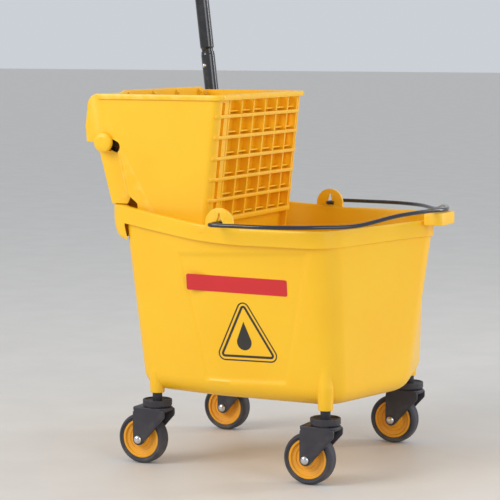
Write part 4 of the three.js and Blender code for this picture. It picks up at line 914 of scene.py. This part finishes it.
# %% The wire's bends, hook to hook
WIRE_RADIUS = 2.98
WIRE_SPACING = 2.5
HANDLE_WIDE = RIM_PLAN[1][1] + 39
HANDLE_TIP_X = RIM_PLAN[0][0] + 17
HANDLE_BENDS = ((-219, 0), (-179, -2), (-147, -11), (-112, -32), (-72, -77), (-37, -137), (-12, -190))


def make_handle():
    hook = LUG_INNER - 12.0
    tip_z = TAB_TOP + 3 + 0.6
    flat = [(LUG_X + 12, hook), (LUG_X + 4, hook), (LUG_X, hook + 4), (LUG_X, hook + 9), (LUG_X, hook + 24),
            (LUG_X, HANDLE_WIDE - 8), (LUG_X + 8, HANDLE_WIDE)]
    flat += [(HANDLE_TIP_X + x, HANDLE_WIDE + y) for x, y in HANDLE_BENDS]
    flat += [(HANDLE_TIP_X, 0.0)] + [(x, -y) for x, y in reversed(flat)]
    rise = lambda x: HANDLE_Z + (tip_z - HANDLE_Z) * float(smooth(HANDLE_TIP_X - 75, HANDLE_TIP_X - 18, x))
    mesh = bpy.data.meshes.new("wire_path")
    mesh.from_pydata([(x * MM, y * MM, rise(x) * MM) for x, y in flat],
                     [(i, i + 1) for i in range(len(flat) - 1)], [])
    wire = grown(shown("wire_path", mesh), BENT_WIRE, "wire_handle", crease=50, Gauge=WIRE_RADIUS * MM,
                 Spacing=WIRE_SPACING * MM, Finish=BLACK_WIRE)
    settle(wire, BLACK_WIRE, "bail", "bail_handle")


make_handle()

# %% [markdown]
# ## Casters
#
# All four casters are alike: a forked bracket under a race cup, a soft tyre on a dished hub and a through
# bolt. The fork could be cast from a subdivided block, but its flat legs and rounded shoulder are a sheet
# shape, so outlines pushed sideways and one plate across their top give it. Wheels are turned profiles with
# many more points than the CAD has, for the tread's soft shoulder and the steps in the hub.

# %% Fork
WHEEL_RADIUS = 37.5
TRAIL = 23.5
LEG_IN = 14.0
LEG_OUT = 18.0
EYE_RADIUS = 9.0
FORK_TOP = 86.5
RACE_RADIUS = 21.8
RACE_TOP = FORK_TOP + CLEARANCE + 11.0
AXLE_RADIUS = 4.0
HUB_RADIUS = 29.2


def shifted(outline, x, y=0.0):
    return [(a + x, b + y) for a, b in outline]


def make_fork(place_name, x, y):
    eye = arc_points(-TRAIL, WHEEL_RADIUS, EYE_RADIUS, math.pi, 1.8 * math.pi, 16)
    back, front = -TRAIL - EYE_RADIUS, RACE_RADIUS - 0.5
    leg = rounded([(back, FORK_TOP - 3, 7), *eye, (RACE_RADIUS - 2, FORK_TOP - 14, 6),
                   (RACE_RADIUS - 2, FORK_TOP - 3, 3)])
    top = rounded([(back, -LEG_OUT, 3), (front, -LEG_OUT, 13), (front, LEG_OUT, 13), (back, LEG_OUT, 3)],
                  steps=8)
    solids = [prism(shifted(top, x, y), FORK_TOP - 6, FORK_TOP, "Z", edge=1.6)]
    wheel_centre = (x - TRAIL, 0, WHEEL_RADIUS)
    for side in (-1, 1):
        low, high = sorted((y + side * LEG_IN, y + side * LEG_OUT))
        solids.append(prism(shifted(leg, x), low, high, "Y", edge=0.9))
        pad_low, pad_high = sorted((y + side * (LEG_OUT - 1.5), y + side * LEG_OUT))
        solids.append(rod(8.2, pad_low, pad_high, "Y", wheel_centre, 32))
    cuts = [rod(STEM_RADIUS - 2, FORK_TOP - 12, FORK_TOP + 2, "Z", (x, y, 0), 32),
            rod(AXLE_RADIUS + CLEARANCE, y - 30, y + 30, "Y", wheel_centre, 24)]
    settle(fuse(f"fork_{place_name}", solids, cuts), BLACK_PLASTIC, f"swivel_{place_name}",
           f"caster_{place_name}_fork")


# %% Race cup and post
def make_race_and_post(place_name, x, y):
    race_low = FORK_TOP + CLEARANCE
    bore = STEM_RADIUS + CLEARANCE
    race = rounded([(bore, race_low), (RACE_RADIUS - 2, race_low, 1), (RACE_RADIUS, race_low + 2.5, 1.5),
                    (RACE_RADIUS, RACE_TOP, 1.6), (RACE_RADIUS - 2.6, RACE_TOP, 0.6),
                    (RACE_RADIUS - 3.4, RACE_TOP - 1.6, 0.6), (bore + 4, RACE_TOP - 3.0, 2),
                    (bore, RACE_TOP - 3.0)])
    settle(lathe(race, "Z", (x, y, 0), 64, f"race_{place_name}"), BLACK_PLASTIC, "bucket",
           f"caster_{place_name}_race")
    pin = STEM_RADIUS - 2.3
    under = FORK_TOP - 6.3
    shoulder = race_low + CLEARANCE
    post = rounded([(0, FORK_TOP - 9), (pin + 2.5, FORK_TOP - 9, 0.8), (pin + 2.5, under, 0.4), (pin, under),
                    (pin, shoulder), (STEM_RADIUS, shoulder, 0.5), (STEM_RADIUS, STEM_TOP - 2, 1),
                    (STEM_RADIUS - 2, STEM_TOP, 0.5), (0, STEM_TOP)])
    settle(lathe(post, "Z", (x, y, 0), 40, f"post_{place_name}"), BLACK_PLASTIC, "bucket",
           f"caster_{place_name}_stem")


# %% Tyre and hub
def both_sides(half):
    """A half profile from the middle outwards on the +Y side, continued as its mirror on the -Y side."""
    return half + [(point[0], -point[1], *point[2:]) for point in reversed(half)]


def make_wheel(place_name, x, y):
    at = (x - TRAIL, y, WHEEL_RADIUS)
    seat = HUB_RADIUS + CLEARANCE
    tyre = both_sides([(WHEEL_RADIUS, 6.5, 10), (WHEEL_RADIUS - 1.2, 9.6, 5),
                       (WHEEL_RADIUS - 4.2, 11.95, 1.4), (HUB_RADIUS + 3.0, 11.4, 0.8),
                       (HUB_RADIUS + 2.4, 10.5, 0.6), (seat, 10.3, 0.5)])
    settle(lathe(rounded(tyre), "Y", at, 96, f"tyre_{place_name}"), TYRE_RUBBER, f"wheel_{place_name}",
           f"caster_{place_name}_tyre")
    bore = AXLE_RADIUS + CLEARANCE
    hub = both_sides([(HUB_RADIUS, 10.0, 0.8), (HUB_RADIUS - 3.4, 10.0, 0.8), (HUB_RADIUS - 4.6, 7.2, 1.0),
                      (19.5, 6.8, 1.0), (18.6, 5.4, 0.8), (13.6, 5.4, 1.0), (12.2, 11.6, 1.0),
                      (bore, 11.9, 0.3)])
    settle(lathe(rounded(hub, steps=4), "Y", at, 96, f"hub_{place_name}"), HUB_YELLOW, f"wheel_{place_name}",
           f"caster_{place_name}_hub")


# %% Axle bolt with a domed head, and its nut
def make_axle(place_name, x, y):
    at = (x - TRAIL, y, WHEEL_RADIUS)
    head = -LEG_OUT - CLEARANCE
    dome = [(0, head - 5), (2.0, head - 4.85), (3.8, head - 4.35), (5.2, head - 3.4), (6.2, head - 1.9),
            (6.5, head - 0.6)]
    bolt = [*dome, (6.5, head), (AXLE_RADIUS, head), (AXLE_RADIUS, LEG_OUT + 6.6),
            (AXLE_RADIUS - 0.6, LEG_OUT + 7), (0, LEG_OUT + 7)]
    settle(lathe(bolt, "Y", at, 40, f"axle_{place_name}"), CHROME, f"swivel_{place_name}",
           f"caster_{place_name}_axle_bolt")


for place_name, (x, y) in STEMS.items():
    make_fork(place_name, x, y)
    make_race_and_post(place_name, x, y)
    make_wheel(place_name, x, y)
    make_axle(place_name, x, y)

# %% [markdown]
# ## The wringer's case
#
# The case is an open box with a leaning front grille, smooth side walls and a hood over the cross shaft.
# The grille is drawn upright, so its ribs and bars are straight rows, and it's then sheared into its lean.
# Modelling it leaning from the start would make every number awkward. Ribs come from one solid with rounded
# ends that wrap the corner, and the slots behind them are cut by a row of blocks.

# %% Sizes of the case
CASE_HALF = 142.0
CASE_WALL = 4.0
CASE_TOP = 547.0
CASE_BOTTOM = 262.0
GRILLE_DEPTH = 16.0
CASE_CORNER = 12.0
MOUTH_X = -198.0
HOOD_TOP_X = -233.0
HOOD_RADIUS = 18.0
REAR_FRAME_HALF = 134.0
LEAN = math.tan(math.radians(6))
RIB_REF = 516.0 - CASE_BOTTOM
RIB_PITCH = 30.3
RIB_COUNT = 6
RIB_WRAP = 0.27 * math.pi
LAST_RIB = RIB_REF - (RIB_COUNT - 1) * RIB_PITCH
BAR_PITCH = 40.0
BAR_COUNT = 7
FIRST_BAR = 39.0 - CASE_HALF
GRILLE_TOP = CASE_TOP - 2 - CASE_BOTTOM
SHAFT_X, SHAFT_Z = -223.0, 476.0
SHAFT_RADIUS = 8.0
PIVOT_AT = (-135, 0, 288)
LEDGE_TOP = float(rim_height(np.array(LEDGE_X))) + 0.3


def front_x(z):
    return -36.0 + (z - 516.0) * LEAN


def lean_back(piece):
    """Shears an upright grille into its lean and puts it at the front of the case."""
    shear = Matrix.Identity(4)
    shear[0][2] = LEAN
    piece.data.transform(Matrix.Translation(Vector((front_x(CASE_BOTTOM), 0, CASE_BOTTOM)) * MM) @ shear)
    return piece


# %% Grille: corner posts, ribs, bars, ledges and the slotted wall behind them
def corner_post(side):
    reach = CASE_HALF - (CASE_CORNER + 1 if side > 0 else 35.0)
    arc = [(-CASE_CORNER + CASE_CORNER * math.sin(t), CASE_HALF - CASE_CORNER + CASE_CORNER * math.cos(t))
           for t in np.linspace(0, math.pi / 2, 13)]
    outline = [(-CASE_CORNER - 3, CASE_HALF), *arc, (0, reach, 1.0), (-GRILLE_DEPTH, reach),
               (-GRILLE_DEPTH, CASE_HALF - 5), (-CASE_CORNER - 3, CASE_HALF - CASE_WALL)]
    return prism(rounded([(x, side * y, *r) for x, y, *r in outline]), 0, GRILLE_TOP, "Z")


def rib_outline(proud):
    out = CASE_CORNER + proud
    middle = CASE_HALF - CASE_CORNER
    half = arc_points(-CASE_CORNER, middle, out, 0, RIB_WRAP, 10)
    end_x, end_y = half[-1]
    half += rounded([half[-2], (end_x - 1.5, end_y + 1.0, 1.2), (-CASE_CORNER + 4, middle),
                     (-GRILLE_DEPTH, middle)], closed=False)[1:]
    return [(x, -y) for x, y in reversed(half)] + half


def make_grille():
    half = CASE_HALF - 10
    rib = prism(rib_outline(3.0), RIB_REF - 2.5, RIB_REF + 2.5, "Z", edge=1.3)
    ribs = row(rib, RIB_COUNT - 1, (0, 0, -RIB_PITCH))
    bottom_rib = prism(rib_outline(3.2), LAST_RIB - 3.5, LAST_RIB + 3.5, "Z", edge=1.5)
    bar = box((-GRILLE_DEPTH + 0.1, -0.2), (FIRST_BAR - 2, FIRST_BAR + 2), (LAST_RIB, GRILLE_TOP), corner=0.8)
    bars = row(bar, BAR_COUNT, (0, BAR_PITCH, 0))
    wall = box((-GRILLE_DEPTH, -GRILLE_DEPTH + 3), (-half, half), (0, GRILLE_TOP - 0.2))
    low_panel = box((-GRILLE_DEPTH, -GRILLE_DEPTH + 6), (-half, half), (LAST_RIB - 40, LAST_RIB), edge=0.8)
    ledge = box((-GRILLE_DEPTH + 0.5, -5.0), (-half + 1, half - 1), (RIB_REF + 5.5, RIB_REF + 8.0), edge=0.7)
    ledges = row(ledge, RIB_COUNT, (0, 0, -RIB_PITCH))
    first_slot = FIRST_BAR + BAR_PITCH / 2
    slot_y = (first_slot - 7, first_slot + 7)
    slot = box((-GRILLE_DEPTH - 1, -GRILLE_DEPTH + 4), slot_y, (LAST_RIB + 8, GRILLE_TOP - 14))
    slots = row(slot, BAR_COUNT - 1, (0, BAR_PITCH, 0))
    drain = box((-GRILLE_DEPTH - 1, 1), slot_y, (12, LAST_RIB - 46))
    drains = row(drain, BAR_COUNT - 1, (0, BAR_PITCH, 0))
    groove = box((-6, 1), (-129, -120), (LAST_RIB, GRILLE_TOP - 9))
    posts = [corner_post(1), fuse("near_post", [corner_post(-1)], [groove])]
    solids = [wall, low_panel, *posts, bars, ledges, ribs, bottom_rib]
    return lean_back(fuse("grille", solids, [slots, drains]))


# %% Side walls, hood and rim
def hood_line(inset):
    """The rear of the case in profile, from its lower edge up and over the rounded top."""
    arc = arc_points(HOOD_TOP_X, CASE_TOP - HOOD_RADIUS, HOOD_RADIUS - inset, math.pi, math.pi / 2, 12)
    return [(-253 + inset, 476), (-254.5 + inset, 500), *arc]


def side_wall(side):
    front_foot = front_x(CASE_BOTTOM) - CASE_CORNER - 3
    outline = rounded([*hood_line(0), (front_x(CASE_TOP) - CASE_CORNER, CASE_TOP),
                       (front_foot, CASE_BOTTOM, 4), (-160, CASE_BOTTOM, 4), (-163, 300, 6), (-168, 387, 5),
                       (-183, 399, 6), (-199, 471, 4), (SHAFT_X, SHAFT_Z, 3)])
    return prism(outline, *span(side, CASE_HALF - CASE_WALL, CASE_HALF), "Y", edge=0.9,
                 keep=lambda co: co.x < front_x(co.z) - CASE_CORNER - 8)


def rear_x(z):
    return -215 + (z - LEDGE_TOP) * (-238.5 + 215) / (473 - LEDGE_TOP)


def rear_frame(side):
    frame_line = rounded([(rear_x(496), 496), (rear_x(LEDGE_TOP), LEDGE_TOP, 3), (-189, LEDGE_TOP, 3),
                          (-182, 399, 4), (-198, 496)])
    frame_wall = prism(frame_line, *span(side, REAR_FRAME_HALF - CASE_WALL, REAR_FRAME_HALF), "Y", edge=0.7)
    low, high = Vector((-183, 399)), Vector((-199, 471))
    run = (high - low).normalized()
    thick = Vector((-run.y, run.x)) * CASE_WALL
    step = prism([low, high, high + thick, low + thick], *span(side, 130, 141.4), "Y", edge=0.8)
    shelf = prism(rounded([(rear_x(476), 476, 1.5), (-198, 476), (-198, 480), (rear_x(476), 480)]),
                  *span(side, 130, 141.4), "Y", edge=0.8)
    pad_line = [(0, side * 130), (15.5, side * 130), (15.5, side * CASE_HALF, 1.2), (0, side * CASE_HALF)]
    pad = lathe(rounded(pad_line), "Y", (SHAFT_X, 0, SHAFT_Z))
    return [frame_wall, step, shelf, pad]


def make_lip():
    out_y, out_x = CASE_HALF + 3, front_x(CASE_TOP) + 7
    in_y, in_x = CASE_HALF - CASE_WALL, front_x(CASE_TOP) - 4
    outer = rounded([(HOOD_TOP_X, -out_y), (out_x, -out_y, CASE_CORNER), (out_x, out_y, CASE_CORNER),
                     (HOOD_TOP_X, out_y)], steps=12)
    inner = rounded([(MOUTH_X, -in_y, 3), (in_x, -in_y, 8), (in_x, in_y, 8), (MOUTH_X, in_y, 3)], steps=10)
    rim = prism(outer, CASE_TOP - 8, CASE_TOP, "Z", edge=1.6)
    return fuse("lip", [rim], [prism(inner, CASE_TOP - 12, CASE_TOP + 4, "Z")])


# %% Rear wall, back rim with its gussets, and the slotted floor
def rear_parts():
    top = 533.0
    wall = prism([(rear_x(top), top), (rear_x(LEDGE_TOP), LEDGE_TOP), (rear_x(LEDGE_TOP) + 3, LEDGE_TOP),
                  (rear_x(top) + 3, top)], -REAR_FRAME_HALF, REAR_FRAME_HALF, "Y")
    half_rim = [(REAR_FRAME_HALF, 535), (REAR_FRAME_HALF, 546, 2), (126, 551, 3), (120, 552, 3)]
    rim_line = [(-y, *rest) for y, *rest in half_rim[:1]] + half_rim
    rim_line += [(-y, *rest) for y, *rest in reversed(half_rim[1:])]
    rim = prism(rounded(rim_line), MOUTH_X - CASE_WALL, MOUTH_X, "X", edge=1.0)
    gusset_line = rounded([(MOUTH_X - 1, 535), (MOUTH_X + 8, 545, 1), (MOUTH_X - 1, 550, 1)])
    gusset = prism(gusset_line, -113.6, -110.6, "Y", edge=0.6)
    return [wall, rim, row(gusset, 4, (0, 74.7, 0))]


def drain_floor():
    front = front_x(CASE_BOTTOM) - GRILLE_DEPTH + 1
    inside = CASE_HALF - CASE_WALL + 1
    plate = box((-160, front), (-inside, inside), (CASE_BOTTOM, CASE_BOTTOM + CASE_WALL))
    slot = box((-148, front - 10), (-116, -100), (CASE_BOTTOM - 2, CASE_BOTTOM + 6), corner=4.0)
    return fuse("drain_floor", [plate], [row(slot, 7, (0, 36, 0))])


def slot_through(start, end, radius, low, high):
    """A round-ended slot from start to end in the XZ plane."""
    way = Vector(end) - Vector(start)
    turn = math.atan2(way.y, way.x)
    outline = []
    for place, first in ((end, turn - math.pi / 2), (start, turn + math.pi / 2)):
        outline += arc_points(*place, radius, first, first + math.pi, 14)
    return prism(outline, low, high, "Y")


def make_wringer():
    hood = prism(hood_line(0) + hood_line(CASE_WALL)[::-1], -CASE_HALF + 0.4, CASE_HALF - 0.4, "Y")
    solids = [side_wall(1), side_wall(-1), hood, make_lip(), make_grille(), drain_floor(), *rear_frame(1),
              *rear_frame(-1), *rear_parts()]
    beyond = CASE_HALF + 8
    shaft_slot = slot_through((SHAFT_X, SHAFT_Z), (SHAFT_X + 17, SHAFT_Z - 6.5), 9.0, -beyond, beyond)
    pivot = rod(4.3, -beyond, beyond, "Y", PIVOT_AT, 32)
    settle(fuse("wringer", solids, [shaft_slot, pivot]), YELLOW, "wringer", "wringer_case")


make_wringer()

# %% [markdown]
# ## The press plate and the small hardware
#
# The press plate and the cranks are already right in the CAD, down to the curved slot that drives the
# plate, but their edges are knife sharp. Building them again would risk losing the fit of the slot, so each
# is a copy of the CAD mesh: its doubled points are merged, flat faces made whole, and its hard edges
# rounded.

# %% Copies with rounded edges
def eased(node, name, width, sharp=35):
    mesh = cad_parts[node].data.copy()
    mesh.name = name
    with editing(mesh) as work:
        bmesh.ops.remove_doubles(work, verts=work.verts, dist=2e-6)
        bmesh.ops.dissolve_limit(work, angle_limit=math.radians(0.5), verts=work.verts, edges=work.edges)
        hard = [e for e in work.edges
                if len(e.link_faces) == 2 and e.calc_face_angle(0) > math.radians(sharp)]
        soften(work, hard, width, 0.6)
        bmesh.ops.triangulate(work, faces=[f for f in work.faces if len(f.verts) > 4])
    shaded(mesh)
    return shown(name, mesh)


HARDWARE = [("press_plate", "pressing_plate", 0.7, YELLOW, "plate")]
for side in ("left", "right"):
    HARDWARE += [(f"crank_arm_{side}", f"crank_{side}", 0.5, BLACK_STEEL, "lever"),
                 (f"crank_pin_{side}", f"pin_{side}", 0.3, ZINC, "lever"),
                 (f"shaft_spacer_{side}", f"spacer_{side}", 0.4, BLACK_PLASTIC, "lever")]
for level in ("low", "high"):
    HARDWARE += [(f"bracket_bolt_{level}", f"bolt_{level}", 0.3, ZINC, "lever"),
                 (f"bracket_nut_{level}", f"nut_{level}", 0.4, ZINC, "lever")]
HARDWARE += [("lever_hub_nut", "hub_nut", 0.6, ZINC, "lever"),
             ("plate_pivot_rod", "pivot_rod", 0.5, ZINC, "wringer")]
HARDWARE += [(f"caster_{place_name}_axle_nut", f"axle_nut_{place_name}", 0.5, CHROME, f"swivel_{place_name}")
             for place_name in STEMS]
for node, name, width, material, body in HARDWARE:
    settle(eased(node, name, width), material, body, node)

# %% [markdown]
# ## The press lever
#
# The lever is a tube whose lower end sits in a wider socket bolted to a flat bracket on the cross shaft. A
# snap button locks the two tubes. All of it is turned, so the pieces are lathed upright in the lever's own
# frame and then leaned back with it. The grip's shallow rings are part of its profile.

# %% The lever's own frame
LEVER_LEAN = math.radians(-6.84)
LEVER_FRAME = Matrix.Translation(Vector((SHAFT_X, 0, SHAFT_Z)) * MM) @ Matrix.Rotation(LEVER_LEAN, 4, "Y")
TUBE_AT = (29.5, 165.5, 0.0)
TUBE_RADIUS = 11.0
TUBE_WALL = 1.5
NECK_RADIUS = 9.2
SOCKET_TOP = 128.0
TUBE_TOP = 474.2
GRIP_LOW = 356.2
BUTTON_AT = 106.0
BUTTON_TURN = Matrix.Rotation(-math.radians(16), 4, "Z")
BUTTON_RADIUS = 3.5
BOLT_BORE = 3.3
BOLT_HEIGHTS = (10, 46)
BRACKET_THICKNESS = 5.5


def leaned(piece):
    piece.data.transform(LEVER_FRAME)
    return piece


def at_button(piece):
    """Puts a piece made round the Y axis on the button's own axis."""
    piece.data.transform(Matrix.Translation(Vector((*TUBE_AT[:2], BUTTON_AT)) * MM) @ BUTTON_TURN)
    return piece


def button_bore():
    return at_button(rod(BUTTON_RADIUS + CLEARANCE, -20, 0, "Y"))


def tube_bolt_bore(z):
    return rod(BOLT_BORE, 140, 190, "Y", (TUBE_AT[0], 0, z), 20)


# %% Socket, tube, grip and end cap
def make_tubes():
    bore = TUBE_RADIUS - TUBE_WALL
    waist = TUBE_RADIUS - 0.5
    socket = rounded([(bore, -6), (TUBE_RADIUS, -6, 0.6), (TUBE_RADIUS, SOCKET_TOP - 5, 3),
                      (waist, SOCKET_TOP - 3, 2), (waist, SOCKET_TOP, 0.5), (bore, SOCKET_TOP)])
    sleeve = fuse("lever_sleeve", [lathe(socket, "Z", TUBE_AT, 56)],
                  [button_bore(), *[tube_bolt_bore(z) for z in BOLT_HEIGHTS]])
    settle(leaned(sleeve), BLACK_STEEL, "lever", "lever_socket")
    low = SOCKET_TOP - 34
    neck_bore = NECK_RADIUS - TUBE_WALL
    tube = rounded([(neck_bore, low), (NECK_RADIUS, low, 0.5), (NECK_RADIUS, SOCKET_TOP + 4, 1),
                    (TUBE_RADIUS, SOCKET_TOP + 7, 1), (TUBE_RADIUS, TUBE_TOP - 4), (bore, TUBE_TOP - 4),
                    (bore, SOCKET_TOP + 8), (neck_bore, SOCKET_TOP + 5)])
    pole = fuse("lever_pole", [lathe(tube, "Z", TUBE_AT, 56)], [button_bore()])
    settle(leaned(pole), BLACK_STEEL, "lever", "lever_tube")


def make_grip():
    inside, outside = 11.3, 15.3
    groove = outside - 0.7
    profile = [(inside, GRIP_LOW), (outside - 1, GRIP_LOW, 0.6), (outside, GRIP_LOW + 3, 1)]
    for z in np.arange(GRIP_LOW + 10, TUBE_TOP - 16, 6.0):
        profile += [(outside, z, 0.5), (groove, z + 0.8, 0.4), (groove, z + 2.0, 0.4),
                    (outside, z + 2.8, 0.5)]
    profile += [(outside, TUBE_TOP - 4, 0.4), (inside, TUBE_TOP - 4)]
    sleeve = lathe(rounded(profile, steps=3), "Z", TUBE_AT, 56, "grip_sleeve")
    settle(leaned(sleeve), GRIP_RUBBER, "lever", "lever_grip")
    plug, seat = 9.2, TUBE_TOP - 3.7
    cap = [(0, TUBE_TOP - 22), (plug, TUBE_TOP - 22, 0.8), (plug, seat), (outside, seat, 0.4),
           (outside, TUBE_TOP, 2.5), (outside - 4, TUBE_TOP + 4, 3), (0, TUBE_TOP + 5)]
    settle(leaned(lathe(rounded(cap), "Z", TUBE_AT, 56, "end_cap")), BLACK_PLASTIC, "lever", "lever_end_cap")


# %% Snap button, bracket, cross shaft and the round cap on its near end
def make_button():
    profile = [(0, -14), (1.2, -13.85), (2.2, -13.4), (3.0, -12.6), (3.45, -11.6), (BUTTON_RADIUS, -10.8),
               (BUTTON_RADIUS, -6.7), (0, -6.7)]
    button = lathe(profile, "Y", (0, 0, 0), 32, "push_button")
    settle(leaned(at_button(button)), CHROME, "button", "snap_button")


def make_bracket():
    high = TUBE_AT[1] - TUBE_RADIUS - CLEARANCE
    low = high - BRACKET_THICKNESS
    eye = arc_points(0, 0, 14, math.radians(135), math.radians(270), 20)
    outline = rounded([*eye, (37.5, -6, 6), (37.5, 58, 5), (21.5, 58, 5)], steps=6)
    ear = prism(outline, low, high, "Y", edge=0.8)
    shaft_bore = rod(SHAFT_RADIUS + CLEARANCE, low - 2, high + 2, "Y", sides=40)
    holes = [rod(BOLT_BORE, low - 2, high + 2, "Y", (TUBE_AT[0], 0, z), 20) for z in BOLT_HEIGHTS]
    settle(leaned(fuse("lever_ear", [ear], [shaft_bore, *holes])), BLACK_STEEL, "lever", "lever_bracket")


def make_shaft_and_cap():
    near = -CASE_HALF - CLEARANCE
    end = TUBE_AT[1] - TUBE_RADIUS - CLEARANCE + 8
    at = (SHAFT_X, 0, SHAFT_Z)
    shaft = rounded([(0, near - 6), (SHAFT_RADIUS, near - 6, 0.5), (SHAFT_RADIUS, end, 1), (0, end)])
    settle(lathe(shaft, "Y", at, 40, "shaft"), BLACK_STEEL, "lever", "cross_shaft")
    bore = SHAFT_RADIUS + CLEARANCE
    cap = rounded([(0, near - 9), (8, near - 9, 3), (11.5, near - 8, 2), (14.5, near - 6.5, 2.5),
                   (14.5, near, 0.6), (bore, near), (bore, near - 6.3), (0, near - 6.3)])
    settle(lathe(cap, "Y", at, 64, "round_cap"), YELLOW, "lever", "shaft_cap")


make_tubes()
make_grip()
make_button()
make_bracket()
make_shaft_and_cap()
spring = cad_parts["button_spring"]
spring.data.materials.clear()
spring.data.materials.append(ZINC)

# %% Floor, light and sky
def add_floor():
    mesh = bpy.data.meshes.new("floor")
    half = 30.0
    corners = [(-half, -half, 0), (half, -half, 0), (half, half, 0), (-half, half, 0)]
    mesh.from_pydata(corners, [], [(0, 1, 2, 3)])
    floor = shown("floor", mesh)
    floor.data.materials.append(finish("floor", (222, 218, 212), (214, 210, 204), 0.55, grain=(40.0, 0.02)))


def add_light(name, location, target, size, power, color=(1, 1, 1)):
    data = bpy.data.lights.new(name, "AREA")
    data.shape = "RECTANGLE"
    data.size, data.size_y = size
    data.energy = power
    data.color = color
    look_from(shown(name, data), location, target)


def add_sky():
    world = bpy.data.worlds.new("studio")
    world.use_nodes = True
    background = world.node_tree.nodes["Background"]
    background.inputs["Color"].default_value = (0.80, 0.84, 0.90, 1)
    background.inputs["Strength"].default_value = 0.75
    bpy.context.scene.world = world


add_floor()
add_sky()
add_light("window", (-1.6, -2.4, 2.0), (0, 0, 0.3), (1.6, 1.8), 52, (1.0, 0.98, 0.95))
add_light("front_fill", (2.6, -1.2, 1.1), (0.1, 0, 0.25), (1.4, 1.4), 16, (0.94, 0.97, 1.0))
add_light("edge_light", (2.0, 1.5, 1.0), (0.2, 0, 0.25), (0.5, 1.8), 20, (1.0, 0.97, 0.95))
bpy.context.scene.view_settings.view_transform = "Standard"
